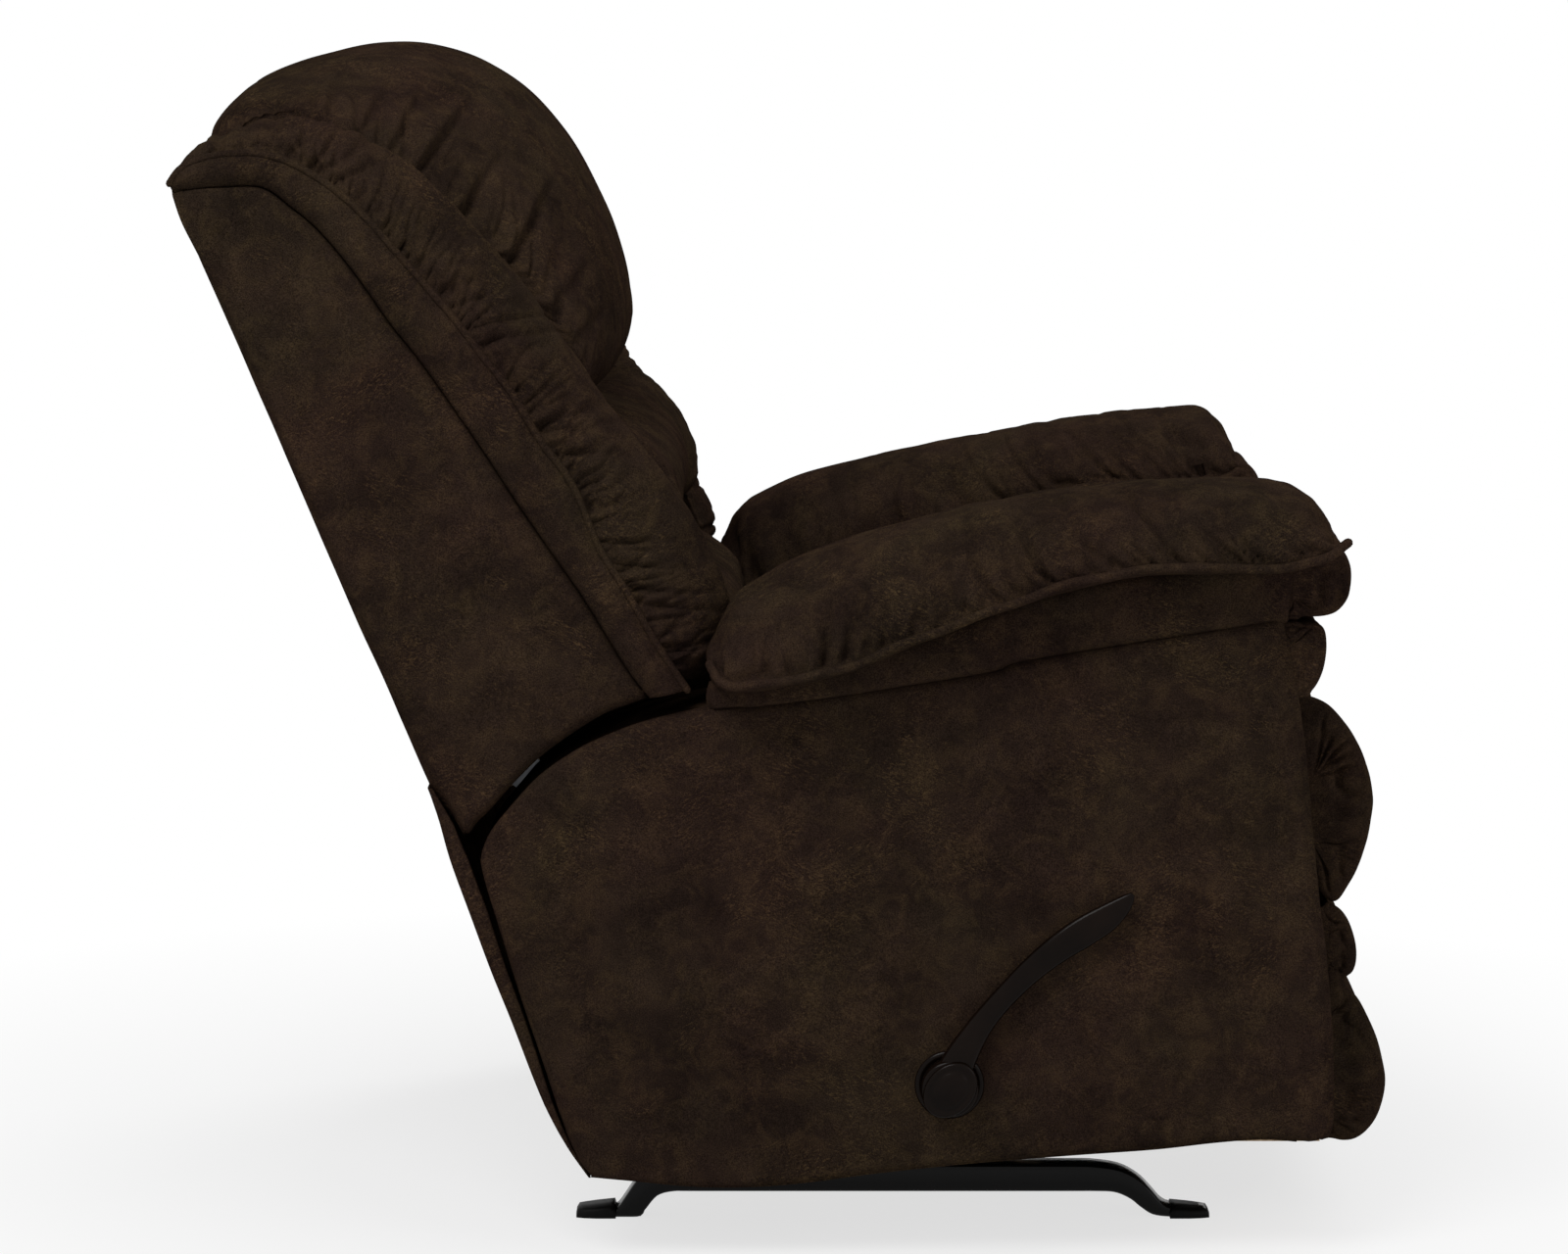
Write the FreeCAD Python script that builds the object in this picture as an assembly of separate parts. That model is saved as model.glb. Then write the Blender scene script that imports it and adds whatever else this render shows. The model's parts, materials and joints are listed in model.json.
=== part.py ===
import FreeCAD, Part
import math
import os

# Rocker recliner. Millimetres, +X the way the sitter faces, +Y the sitter's left, +Z up.
# The origin is on the floor under the middle of the chair.

# Widths, measured outward from the middle plane
INNER_HALF = 290.0
INNER_PANEL = 15.0
ARM_WIDTH = 150.0
OUTER_PANEL = 15.0
PAD_OVERHANG_OUT = 55.0
PAD_OVERHANG_IN = 12.0
BACK_INSET = 8.0
FIT_GAP = 0.3
SLIDE_GAP = 0.5
RUN_CLEARANCE = 0.05

# Rocking base
BASE_MIDDLE = 86.0
RAIL_LENGTH = 400.0
RAIL_TOP = 50.0
RAIL_DEPTH = 26.0
RAIL_WIDTH = 30.0
RAIL_WALL = 2.5
RAIL_END = 34.0
FOOT_REACH = 85.0
FOOT_FLAT = 52.0
FOOT_THICK = 8.0
FOOT_BEND = 3.0
GLIDE_LENGTH = 30.0
GLIDE_SIDE = 3.0
GLIDE_THICK = 3.0
GLIDE_TOP = 3.0
CROSS_SPREAD = 60.0
CROSS_WIDTH = 36.0
CROSS_WALL = 3.0
CROSS_DROP = 18.0

# Rocker cams and their springs
CAM_RADIUS = 360.0
CAM_HALF_ANGLE = 18.5
CAM_THICK = 22.0
CAM_TOP = 112.0
CAM_GAP = 0.1
CAM_HOLE = 11.0
LUG_REACH = 48.0
LUG_THICK = 4.0
LUG_LENGTH = 44.0
SPRING_RADIUS = 17.0
SPRING_WIRE = 4.0
SPRING_INSET = 25.0

# Mechanism plates, one inside each arm, and the layers that the links run in
PLATE_THICK = 3.0
LINK_THICK = 3.0
LAYER_PITCH = 4.8
LINK_HALF = 10.0
PIN_RADIUS = 4.0
HEAD_RADIUS = 7.0
HEAD_THICK = 1.2
EYE_MARGIN = 4.5
PLATE_BAND = 22.0
PLATE_WEB_HALF = 88.0
PLATE_WEB_BOTTOM = 74.0
PLATE_TOP = 336.0
PLATE_LOW_EDGE = 232.0

# Footrest linkage: pivots at rest in side view, as (X, Z)
SWING_PIVOT = (405.0, 262.0)
SWING_LENGTH = 170.0
SWING_START = -140.0
GUIDE_PIVOT = (375.0, 263.0)
GUIDE_CROSSING = (240.5, 161.6)
GUIDE_END = (238.9, 135.3)
BOARD_PIVOT = (440.0, 225.0)
BOARD_SECOND_DROP = 40.0
BOARD_SECOND_STEP = 2.0
OPEN_PIVOT_SLOP = 4.5
DRIVE_PIVOT = (413.4, 245.0)
DRIVE_PIVOT_SLOP = 2.0

# Footrest board and pad
BOARD_BACK = 460.0
BOARD_THICK = 15.0
BOARD_BOTTOM = 78.0
BOARD_TOP = 276.0
BOARD_SIDE_GAP = 14.0
BRACKET_HALF = 13.0
BRACKET_FLANGE = 32.0
FOOT_PAD_SIDE_GAP = 4.0
FOOT_PAD_BOTTOM = 58.0
FOOT_PAD_TOP = 282.0
FOOT_PAD_SPLIT = 200.0
FOOT_ROLL_FRONT = 539.0
MID_ROLL_FRONT = 513.0
CHANNEL_DEPTH = 17.0
PAD_DRAW_IN = 18.0
BELLY_SHARE = 0.43
SHOULDER_SHARE = 0.45
MIDDLE_SHARE = 0.5

# Drive tube and handle
TUBE_AXIS = (131.0, 158.0)
TUBE_RADIUS = 8.0
TUBE_WALL = 2.0
CRANK_RADIUS = 45.0
CRANK_START = -30.0
ESCUTCHEON_RADIUS = 31.0
ESCUTCHEON_THICK = 6.0
HANDLE_GAP = 1.5
HUB_RADIUS = 25.0
HUB_THICK = 18.0
HANDLE_REACH = 236.0
HANDLE_ANGLE = 46.6
HANDLE_THICK = 13.0
HANDLE_BOW = 20.0
CAP_HALF_WIDTH = 21.0
CAP_HALF_LENGTH = 27.0
CAP_THICK = 5.0
CAP_CORNER_SHARES = (0.72, 0.72)
BEVEL_SHARE = 0.55
# blade of the handle: shares of the reach, of the hub's radius and of the thickness
BLADE_SHARES = ((0.0, 0.72, 1.3), (0.16, 0.64, 1.25), (0.36, 0.40, 1.1), (0.60, 0.46, 0.90),
                (0.82, 0.56, 0.70), (0.94, 0.42, 0.55), (1.0, 0.10, 0.35))

# Arms, in side view
RECLINE_PIVOT = (-69.0, 286.0)
CORNER_RADIUS = 208.0
CORNER_START_ANGLE = 157.0
CORNER_END_ANGLE = 98.0
ARM_REAR_BOTTOM = (-172.0, 71.0)
ARM_TOP_FRONT = (423.0, 571.0)
ARM_FRONT_BOTTOM = (469.0, 119.0)
ARM_FRONT_BOW = 5.0
ARM_BOTTOM_FRONT = (446.0, 104.0)
ARM_BOTTOM_MIDDLE = (228.0, 90.0)
ARM_BOTTOM_REAR = (-47.0, 64.0)
ARM_BOARD = 18.0
INNER_PANEL_BOTTOM = 101.0
BAND_THICK = 11.0
PANEL_CLEAR = 2.0

# Arm pads: places along the arm, with the heights of the welt and the crest there
PAD_REAR = -72.0
PAD_FRONT_REACH = 59.0
PAD_FOOT = 500.0
PAD_CREST = 687.0
PAD_UNDERCUT = 22.0
SEAM_COVER = 2.0
# share of the length, of the welt's rise, of the crest's rise, of the full width
PAD_SHARES = (
    (0.0, 0.210, 0.330, 0.66),
    (0.056, 0.125, 0.545, 0.90),
    (0.213, 0.185, 0.750, 1.0),
    (0.430, 0.450, 0.905, 1.0),
    (0.686, 0.631, 0.990, 1.0),
    (0.859, 0.642, 1.0, 0.98),
    (0.950, 0.700, 0.930, 0.93),
    (1.0, 0.690, 0.775, 0.80),
)

PAD_SHOULDER_SHARES = (0.80, 0.62)
PAD_BROW_SHARES = (0.35, 0.94)

# Gathered rolls on the front of each arm
ROLL_BOTTOM = 497.0
ROLL_SPLIT = 561.0
ROLL_TOP = 598.0
UPPER_ROLL_FRONT = 488.0
LOWER_ROLL_FRONT = 466.0
FRONT_COVER = 8.0

# Seat
SEAT_RAIL_BOTTOM = 298.0
SEAT_RAIL_HEIGHT = 28.0
SEAT_RAIL_WIDTH = 22.0
SEAT_RAIL_INSET = 28.0
SEAT_REAR = -40.0
SEAT_FRONT = 458.0
SEAT_PIN_RADIUS = 5.0
SEAT_PIN_PLACES = (60.0, 330.0)
SEAT_TRAVEL = 50.0
SEAT_SLOPE = 8.0
SLOT_SPARE = 0.5
SPRING_STRIPS = 5
STRIP_WIRE = 3.5
STRIP_HALF = 24.0
STRIP_STEP = 22.0
SEAT_GAP = 6.0
CUSHION_REAR = -50.0
CUSHION_BOTTOM = 329.0
CUSHION_REAR_TOP = 438.0
CUSHION_TOP = 484.0
CUSHION_ROLL_FRONT = 524.0
CUSHION_ROLL_BOTTOM = 288.0
CUSHION_CROWN = 16.0
SEAT_CROWN_SHARE = 0.55
SEAT_BROW_SHARE = 0.86

# Back, in a frame that leans with it: along its rear face from the lower corner, and
# across it towards the sitter
BACK_LEAN = 22.84
BACK_LENGTH = 571.0
BACK_DEPTH = 304.0
BACK_CORNER_RADIUS = 281.7
BACK_CORNER_ANGLE = 152.98
BACK_ARC_GAP = 16.0
BACK_BOARD = 8.0
BACK_SIDE = 12.0
POST_INSET = 41.0
POST_WIDTH = 30.0
POST_REAR_GAP = 6.0
POST_FOOT_DEPTH = 66.0
POST_HEAD_DEPTH = 28.0
POST_DROP = 40.0
BACK_RAIL_HEIGHT = 62.0
RECLINE_PIN_RADIUS = 6.0
RECLINE_EYE = 16.0
BRACKET_THICK = 4.0
# the side panel's upper front corner, as shares of the length and the depth
PANEL_CORNER_SHARES = (0.970, 0.148)
PANEL_HEEL_SHARE = -0.052
# places up the wing: share of the length, then of the depth at the panel, crest and inner edge
WING_SHARES = ((0.030, 0.690, 0.860, 0.800), (0.150, 0.650, 1.0, 0.900), (0.440, 0.530, 0.915, 0.800),
               (0.715, 0.420, 0.790, 0.650), (0.890, 0.310, 0.640, 0.520), (1.015, 0.130, 0.420, 0.330))
WING_OVERLAP = 12.0
WING_CREST_INSET = 62.0
WING_SWELL = 8.0
WING_FLANK_SHARES = (0.22, 0.70)
WING_HOLLOW_SHARE = 0.45
# pillows in side view, as steps in shares of the length and the depth: a pair is an arc
HEAD_SHARES = (
    (0.985, 0.150), (1.012, 0.135), ((1.105, 0.190), (1.117, 0.400)), ((1.045, 0.810), (0.889, 1.023)),
    ((0.740, 1.095), (0.586, 1.030)), (0.480, 0.930), (0.475, 0.500), (0.480, 0.300))
HEAD_SIDE_SHARES = (
    (0.985, 0.150), (1.010, 0.140), ((1.050, 0.180), (1.050, 0.300)), ((0.975, 0.540), (0.830, 0.720)),
    ((0.700, 0.800), (0.586, 0.830)), (0.490, 0.800), (0.480, 0.500), (0.480, 0.300))
MIDDLE_SHARES = (
    (0.465, 0.300), (0.465, 0.840), ((0.455, 0.895), (0.415, 0.935)), ((0.300, 0.997), (0.195, 0.945)),
    ((0.165, 0.915), (0.152, 0.850)), (0.152, 0.300))
LOWER_SHARES = (
    (0.142, 0.300), (0.142, 0.840), ((0.132, 0.895), (0.100, 0.945)), ((0.030, 1.010), (-0.035, 0.965)),
    ((-0.075, 0.930), (-0.090, 0.860)), (-0.100, 0.600), (-0.100, 0.320))
# places across a pillow, and how far the outline there is on the way to the side outline
PILLOW_STATION_SHARES = ((-1.0, 1.0), (-0.90, 0.45), (-0.5, 0.06), (0.5, 0.06), (0.90, 0.45), (1.0, 1.0))
HEAD_SIDE_GAP = 3.0
MIDDLE_SIDE_GAP = 5.0
LOWER_SIDE_GAP = 5.0
PILLOW_EASE_SHARE = 0.90

# Frame members between the arms
FRONT_RAIL_X = 205.0
FRONT_RAIL_BOTTOM = 96.0
FRONT_RAIL_TOP = 136.0
REAR_RAIL_X = -150.0
REAR_RAIL_BOTTOM = 92.0
REAR_RAIL_TOP = 190.0
BOARD_RAIL = 18.0
STRETCHER_X = 10.0
STRETCHER_BOTTOM = 205.0
STRETCHER_HEIGHT = 26.0
STRETCHER_WIDTH = 24.0
STRETCHER_WALL = 3.0
BOLT_RADIUS = 5.0
BOLT_HEAD = 8.0
BOLT_HEAD_THICK = 3.0
BOLT_PLACES = ((150.0, 300.0), (240.0, 300.0), (10.0, 262.0), (400.0, 302.0))

# Fabric flap that closes the gap behind
FLAP_THICK = 3.0
FLAP_GAP = 1.0
FLAP_SIDE_GAP = 2.0
FLAP_BOW = 10.0

# a crowned pad: places across it, and the share of its drawing in at each
CROWN_SHARES = ((-1.0, 1.6), (-0.93, 0.75), (-0.55, 0.0), (0.55, 0.0), (0.93, 0.75), (1.0, 1.6))

OVERRUN = 40.0
HALF_TURN = 180.0
QUARTER_TURN = 90.0

PANEL_INSIDE = INNER_HALF + ARM_WIDTH - OUTER_PANEL
PANEL_OUTSIDE = INNER_HALF + ARM_WIDTH
PLATE_INSIDE = INNER_HALF - PLATE_THICK
BACK_HALF = PANEL_OUTSIDE - BACK_INSET
SEAT_RAIL_OUTER = INNER_HALF - SEAT_RAIL_INSET
POST_INNER = INNER_HALF - POST_INSET
WING_INNER = INNER_HALF + WING_OVERLAP
HEAD_HALF = WING_INNER - HEAD_SIDE_GAP
MIDDLE_HALF = WING_INNER - MIDDLE_SIDE_GAP
LOWER_HALF = INNER_HALF - PAD_OVERHANG_IN - LOWER_SIDE_GAP
PAD_LENGTH = ARM_TOP_FRONT[0] + PAD_FRONT_REACH - PAD_REAR
SIDES = (("right", -1), ("left", 1))


def save(name, *solids):
    """Writes the solids of one piece to its own file."""
    shape = solids[0] if len(solids) == 1 else Part.makeCompound(list(solids))
    shape.exportStep("parts/" + name + ".step")


def polar(centre, radius, degrees):
    """The point at a distance and an angle above +X from a centre, in side view."""
    angle = math.radians(degrees)
    return (centre[0] + radius * math.cos(angle), centre[1] + radius * math.sin(angle))


def shifted(point, step_x, step_z):
    """A side view point moved by a step."""
    return (point[0] + step_x, point[1] + step_z)


def between(first, second, share):
    """The point a share of the way from one point to another."""
    return tuple(a + (b - a) * share for a, b in zip(first, second))


def turned(point, centre, degrees):
    """A side view point turned about a centre."""
    angle = math.radians(degrees)
    dx = point[0] - centre[0]
    dz = point[1] - centre[1]
    turned_x = dx * math.cos(angle) - dz * math.sin(angle)
    turned_z = dx * math.sin(angle) + dz * math.cos(angle)
    return (centre[0] + turned_x, centre[1] + turned_z)


def closed_wire(place, start, steps):
    """A closed wire: a step is an end point, or the middle and the end point of an arc."""
    edges = []
    here = start
    for step in list(steps) + [start]:
        if isinstance(step[0], tuple):
            middle, end = step
            edges.append(Part.Arc(place(here), place(middle), place(end)).toShape())
        else:
            end = step
            if math.dist(here, end) > 0:
                edges.append(Part.LineSegment(place(here), place(end)).toShape())
        here = end
    return Part.Wire(edges)


def side_wire(y, start, *steps):
    """A closed outline in side view, at a distance y from the middle plane."""
    return closed_wire(lambda p: FreeCAD.Vector(p[0], y, p[1]), start, steps)


def slab(side, near, far, start, *steps):
    """A plate with a side view outline, from near to far outward on one side of the chair."""
    low = min(side * near, side * far)
    face = Part.Face(side_wire(low, start, *steps))
    return face.extrude(FreeCAD.Vector(0, far - near, 0))


def across(half, start, *steps):
    """A piece with a side view outline that runs the same way on both sides of the middle."""
    face = Part.Face(side_wire(-half, start, *steps))
    return face.extrude(FreeCAD.Vector(0, half + half, 0))


def box_outline(low_x, low_z, high_x, high_z):
    """Corner points of an upright rectangle."""
    return ((low_x, low_z), (high_x, low_z), (high_x, high_z), (low_x, high_z))


def rod(side, near, far, centre, radius):
    """A round rod along Y on one side of the chair."""
    low = min(side * near, side * far)
    base = FreeCAD.Vector(centre[0], low, centre[1])
    return Part.makeCylinder(radius, far - near, base, FreeCAD.Vector(0, 1, 0))


def bar(side, near, far, start, end, half):
    """A flat bar with round ends between two points in side view."""
    angle = math.degrees(math.atan2(end[1] - start[1], end[0] - start[0]))
    first = polar(start, half, angle + QUARTER_TURN)
    second = polar(end, half, angle + QUARTER_TURN)
    third = polar(end, half, angle - QUARTER_TURN)
    fourth = polar(start, half, angle - QUARTER_TURN)
    nose = polar(end, half, angle)
    tail = polar(start, half, angle + HALF_TURN)
    return slab(side, near, far, first, second, (nose, third), fourth, (tail, first))


def layer(number):
    """Inner and outer face of a link layer, counted inward from the mechanism plate."""
    outer = PLATE_INSIDE - number * LAYER_PITCH + LINK_THICK
    return outer - LINK_THICK, outer


def pinned(side, centre, from_face, to_layer, radius=PIN_RADIUS):
    """A pin from an outer face inward through a layer, with a flat head past it."""
    inner_face = layer(to_layer)[0] - FIT_GAP
    shank = rod(side, inner_face - HEAD_THICK, from_face, centre, radius)
    head = rod(side, inner_face - HEAD_THICK, inner_face, centre, radius + HEAD_RADIUS - PIN_RADIUS)
    return shank.fuse(head)


def eye(side, number, centre, radius):
    """The round end of a link in its layer."""
    near, far = layer(number)
    return rod(side, near, far, centre, radius)


def drilled(shape, side, number, centre, radius):
    """A link with a hole through its layer."""
    near, far = layer(number)
    return shape.cut(rod(side, near - SLIDE_GAP, far + SLIDE_GAP, centre, radius))


SWING_END = polar(SWING_PIVOT, SWING_LENGTH, SWING_START)
BOARD_SECOND = shifted(BOARD_PIVOT, BOARD_SECOND_STEP, -BOARD_SECOND_DROP)
CRANK_END = polar(TUBE_AXIS, CRANK_RADIUS, CRANK_START)
PIN_HOLE = PIN_RADIUS + RUN_CLEARANCE
OPEN_HOLE = PIN_RADIUS + OPEN_PIVOT_SLOP
DRIVE_HOLE = PIN_RADIUS + DRIVE_PIVOT_SLOP
OPEN_EYE = OPEN_HOLE + EYE_MARGIN


def swing_link(side):
    """First link of the footrest: swings on the mechanism plate and carries the reach link."""
    near, far = layer(1)
    link = bar(side, near, far, SWING_PIVOT, SWING_END, LINK_HALF)
    link = link.fuse(bar(side, near, far, SWING_PIVOT, DRIVE_PIVOT, LINK_HALF))
    link = drilled(link, side, 1, SWING_PIVOT, PIN_HOLE)
    link = link.fuse(pinned(side, SWING_END, far, 2))
    return link.fuse(pinned(side, DRIVE_PIVOT, far, 5)).removeSplitter()


def reach_link(side):
    """Second link: from the swing link to the footrest bracket, with a tail for the guide link."""
    near, far = layer(2)
    link = bar(side, near, far, SWING_END, BOARD_PIVOT, LINK_HALF)
    link = link.fuse(bar(side, near, far, SWING_END, GUIDE_CROSSING, LINK_HALF))
    link = drilled(link, side, 2, SWING_END, PIN_HOLE)
    link = drilled(link, side, 2, BOARD_PIVOT, PIN_HOLE)
    return link.fuse(pinned(side, GUIDE_CROSSING, far, 3)).removeSplitter()


def guide_link(side):
    """Second link on the plate: crosses the reach link and carries the board link."""
    near, far = layer(3)
    link = bar(side, near, far, GUIDE_PIVOT, GUIDE_CROSSING, LINK_HALF)
    link = link.fuse(bar(side, near, far, GUIDE_CROSSING, GUIDE_END, LINK_HALF))
    link = link.fuse(eye(side, 3, GUIDE_CROSSING, OPEN_EYE))
    link = drilled(link, side, 3, GUIDE_PIVOT, PIN_HOLE)
    link = drilled(link, side, 3, GUIDE_CROSSING, OPEN_HOLE)
    return link.fuse(pinned(side, GUIDE_END, far, 4)).removeSplitter()


def board_link(side):
    """Link that turns the footrest level as it rises."""
    near, far = layer(4)
    link = bar(side, near, far, GUIDE_END, BOARD_SECOND, LINK_HALF)
    link = link.fuse(eye(side, 4, BOARD_SECOND, OPEN_EYE))
    link = drilled(link, side, 4, GUIDE_END, PIN_HOLE)
    return drilled(link, side, 4, BOARD_SECOND, OPEN_HOLE).removeSplitter()


def footrest_bracket(side):
    """Stamped bracket: an upright plate with two pins and a flange against the board."""
    near, far = layer(3)
    plate = bar(side, near, far, BOARD_PIVOT, BOARD_SECOND, BRACKET_HALF)
    foot = BOARD_SECOND[1] - BRACKET_HALF
    head = BOARD_PIVOT[1] + BRACKET_HALF
    web = slab(side, near, far, *box_outline(BOARD_PIVOT[0], foot, BOARD_BACK, head))
    flange = slab(side, near - BRACKET_FLANGE, far, *box_outline(BOARD_BACK - LINK_THICK, foot, BOARD_BACK, head))
    outer_face = layer(2)[1] + FIT_GAP
    upper_pin = rod(side, near, outer_face + HEAD_THICK, BOARD_PIVOT, PIN_RADIUS)
    upper_head = rod(side, outer_face, outer_face + HEAD_THICK, BOARD_PIVOT, HEAD_RADIUS)
    lower_pin = pinned(side, BOARD_SECOND, far, 4)
    return plate.fuse([web, flange, upper_pin, upper_head, lower_pin]).removeSplitter()


def footrest_board():
    """Plywood board that carries the footrest pad."""
    half = INNER_HALF - BOARD_SIDE_GAP
    corners = box_outline(BOARD_BACK, BOARD_BOTTOM, BOARD_BACK + BOARD_THICK, BOARD_TOP)
    return across(half, *corners)


def footrest_outline(ease):
    """The two rolls of the footrest in side view, drawn in by a distance at the sides."""
    back = BOARD_BACK + BOARD_THICK + FIT_GAP
    depth = FOOT_ROLL_FRONT - back
    low = FOOT_PAD_BOTTOM + ease * PILLOW_EASE_SHARE
    high = FOOT_PAD_TOP - ease * PILLOW_EASE_SHARE
    upper_front = MID_ROLL_FRONT - ease
    lower_front = FOOT_ROLL_FRONT - ease
    notch = (upper_front - CHANNEL_DEPTH, FOOT_PAD_SPLIT)
    lower_belly = (lower_front, low + (FOOT_PAD_SPLIT - low) * BELLY_SHARE)
    upper_belly = (upper_front, FOOT_PAD_SPLIT + (high - FOOT_PAD_SPLIT) * BELLY_SHARE)
    toe = (back + depth * SHOULDER_SHARE, low)
    top = (back + (upper_front - back) * SHOULDER_SHARE, high)
    toe_corner = between(between(toe, lower_belly, MIDDLE_SHARE), (lower_front, low), SHOULDER_SHARE)
    return (back, low), toe, (toe_corner, lower_belly), (arc_point(lower_belly, notch, CHANNEL_DEPTH), notch), \
        (arc_point(notch, upper_belly, CHANNEL_DEPTH / 2), upper_belly), \
        (arc_point(upper_belly, top, CHANNEL_DEPTH / 2), top), (back, high)


def arc_point(start, end, bulge):
    """A point beside the middle of a chord, to its right, that an arc passes through."""
    length = math.dist(start, end)
    dx = (end[0] - start[0]) / length
    dz = (end[1] - start[1]) / length
    middle = between(start, end, MIDDLE_SHARE)
    return (middle[0] + dz * bulge, middle[1] - dx * bulge)


def crowned(half, outline, ease):
    """A pad that is fullest in the middle and drawn in at both sides."""
    wires = [side_wire(half * place, *outline(ease * share)) for place, share in CROWN_SHARES]
    return Part.makeLoft(wires, True, True)


def footrest_pad():
    """Footrest cushion of two rolls."""
    return crowned(INNER_HALF - FOOT_PAD_SIDE_GAP, footrest_outline, PAD_DRAW_IN)


def foot_steps():
    """Side view of the front half of a base rail, round its foot from the bottom to the top."""
    shoulder = RAIL_LENGTH / 2
    bottom = RAIL_TOP - RAIL_DEPTH
    tip = shoulder + FOOT_REACH
    flat = tip - FOOT_FLAT
    sole = GLIDE_THICK
    instep = GLIDE_THICK + FOOT_THICK
    low_knee = between((shoulder, bottom), (flat, sole), MIDDLE_SHARE)
    high_knee = between((shoulder + FOOT_THICK, RAIL_TOP), (flat + FOOT_THICK, instep), MIDDLE_SHARE)
    under = (arc_point(low_knee, (shoulder, bottom), FOOT_BEND), low_knee)
    heel = (arc_point(low_knee, (flat, sole), FOOT_BEND), (flat, sole))
    rise = (arc_point(high_knee, (flat + FOOT_THICK, instep), FOOT_BEND), high_knee)
    crest = (arc_point(high_knee, (shoulder, RAIL_TOP), FOOT_BEND), (shoulder, RAIL_TOP))
    return (shoulder, bottom), (under, heel, (tip, sole), (tip, instep), (flat + FOOT_THICK, instep), rise, crest)


def mirrored_steps(start, steps):
    """The same outline on the far side of the base's middle, followed the other way round."""
    ends = [start] + [step[1] if isinstance(step[0], tuple) else step for step in steps]
    result = []
    for step, end in zip(steps[::-1], ends[-2::-1]):
        there = (-end[0], end[1])
        if isinstance(step[0], tuple):
            result.append(((-step[0][0], step[0][1]), there))
        else:
            result.append(there)
    return (-ends[-1][0], ends[-1][1]), result


def from_middle(step):
    """A step of an outline moved to the middle of the base."""
    if isinstance(step[0], tuple):
        return tuple(from_middle(point) for point in step)
    return shifted(step, BASE_MIDDLE, 0)


def base_rail(side):
    """Stamped channel that stands on two flat feet and carries a rocker cam on its top."""
    front_start, front = foot_steps()
    rear_start, rear = mirrored_steps(front_start, front)
    middle = INNER_HALF - PLATE_THICK - CAM_THICK / 2
    near = middle - RAIL_WIDTH / 2
    far = middle + RAIL_WIDTH / 2
    outline = [from_middle(step) for step in (front_start, *front, rear_start, *rear)]
    rail = slab(side, near, far, *outline)
    half = RAIL_LENGTH / 2 - RAIL_END
    low = RAIL_TOP - RAIL_DEPTH - OVERRUN
    hollow = box_outline(BASE_MIDDLE - half, low, BASE_MIDDLE + half, RAIL_TOP - RAIL_WALL)
    return rail.cut(slab(side, near + RAIL_WALL, far - RAIL_WALL, *hollow))


def base_feet():
    """Plastic glides pushed over the four feet of the base."""
    middle = INNER_HALF - PLATE_THICK - CAM_THICK / 2
    near = middle - RAIL_WIDTH / 2
    far = middle + RAIL_WIDTH / 2
    tip = RAIL_LENGTH / 2 + FOOT_REACH
    glides = []
    for name, side in SIDES:
        for direction in (-1, 1):
            inner = BASE_MIDDLE + direction * (tip - GLIDE_LENGTH)
            outer = BASE_MIDDLE + direction * (tip + GLIDE_SIDE)
            low_x, high_x = min(inner, outer), max(inner, outer)
            block = slab(side, near - GLIDE_SIDE, far + GLIDE_SIDE,
                         *box_outline(low_x, 0.0, high_x, GLIDE_THICK + FOOT_THICK + GLIDE_TOP))
            core_outer = BASE_MIDDLE + direction * tip
            core_inner = inner - direction * OVERRUN
            core_low, core_high = min(core_inner, core_outer), max(core_inner, core_outer)
            core = slab(side, near, far, *box_outline(core_low, GLIDE_THICK, core_high, GLIDE_THICK + FOOT_THICK))
            glides.append(block.cut(core))
    return glides


def base_cross(direction):
    """Channel between the base rails that also carries two rocker springs."""
    centre = BASE_MIDDLE + direction * CROSS_SPREAD
    top = RAIL_TOP - CROSS_WALL
    low = top - CROSS_DROP
    half = INNER_HALF - PLATE_THICK - CAM_THICK / 2 - RAIL_WIDTH / 2
    outer = box_outline(centre - CROSS_WIDTH / 2, low, centre + CROSS_WIDTH / 2, top)
    inner = box_outline(centre - CROSS_WIDTH / 2 + CROSS_WALL, low - OVERRUN,
                        centre + CROSS_WIDTH / 2 - CROSS_WALL, top - CROSS_WALL)
    return across(half, *outer).cut(across(half, *inner))


def rock_centre():
    """The point that the chair rocks about, at the centre of the cams' arc."""
    return (BASE_MIDDLE, RAIL_TOP + CAM_GAP + CAM_RADIUS)


def rocker_cam(side):
    """Curved rocker foot bolted to a mechanism plate, with a lug over each spring."""
    centre = rock_centre()
    near = PLATE_INSIDE - CAM_THICK
    low = polar(centre, CAM_RADIUS, -QUARTER_TURN)
    front = polar(centre, CAM_RADIUS, CAM_HALF_ANGLE - QUARTER_TURN)
    rear = polar(centre, CAM_RADIUS, -CAM_HALF_ANGLE - QUARTER_TURN)
    front_top = (front[0], CAM_TOP)
    rear_top = (rear[0], CAM_TOP)
    cam = slab(side, near, PLATE_INSIDE, rear, (low, front), front_top, rear_top)
    for direction in (-1, 1):
        middle = BASE_MIDDLE + direction * CROSS_SPREAD
        window = (middle, (CAM_TOP + RAIL_TOP) / 2 + CAM_HOLE / 2)
        cam = cam.cut(rod(side, near - OVERRUN, PLATE_INSIDE + OVERRUN, window, CAM_HOLE))
        lug = slab(side, near - LUG_REACH, near,
                   *box_outline(middle - LUG_LENGTH / 2, CAM_TOP - LUG_THICK, middle + LUG_LENGTH / 2, CAM_TOP))
        cam = cam.fuse(lug)
    return cam.removeSplitter()


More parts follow.
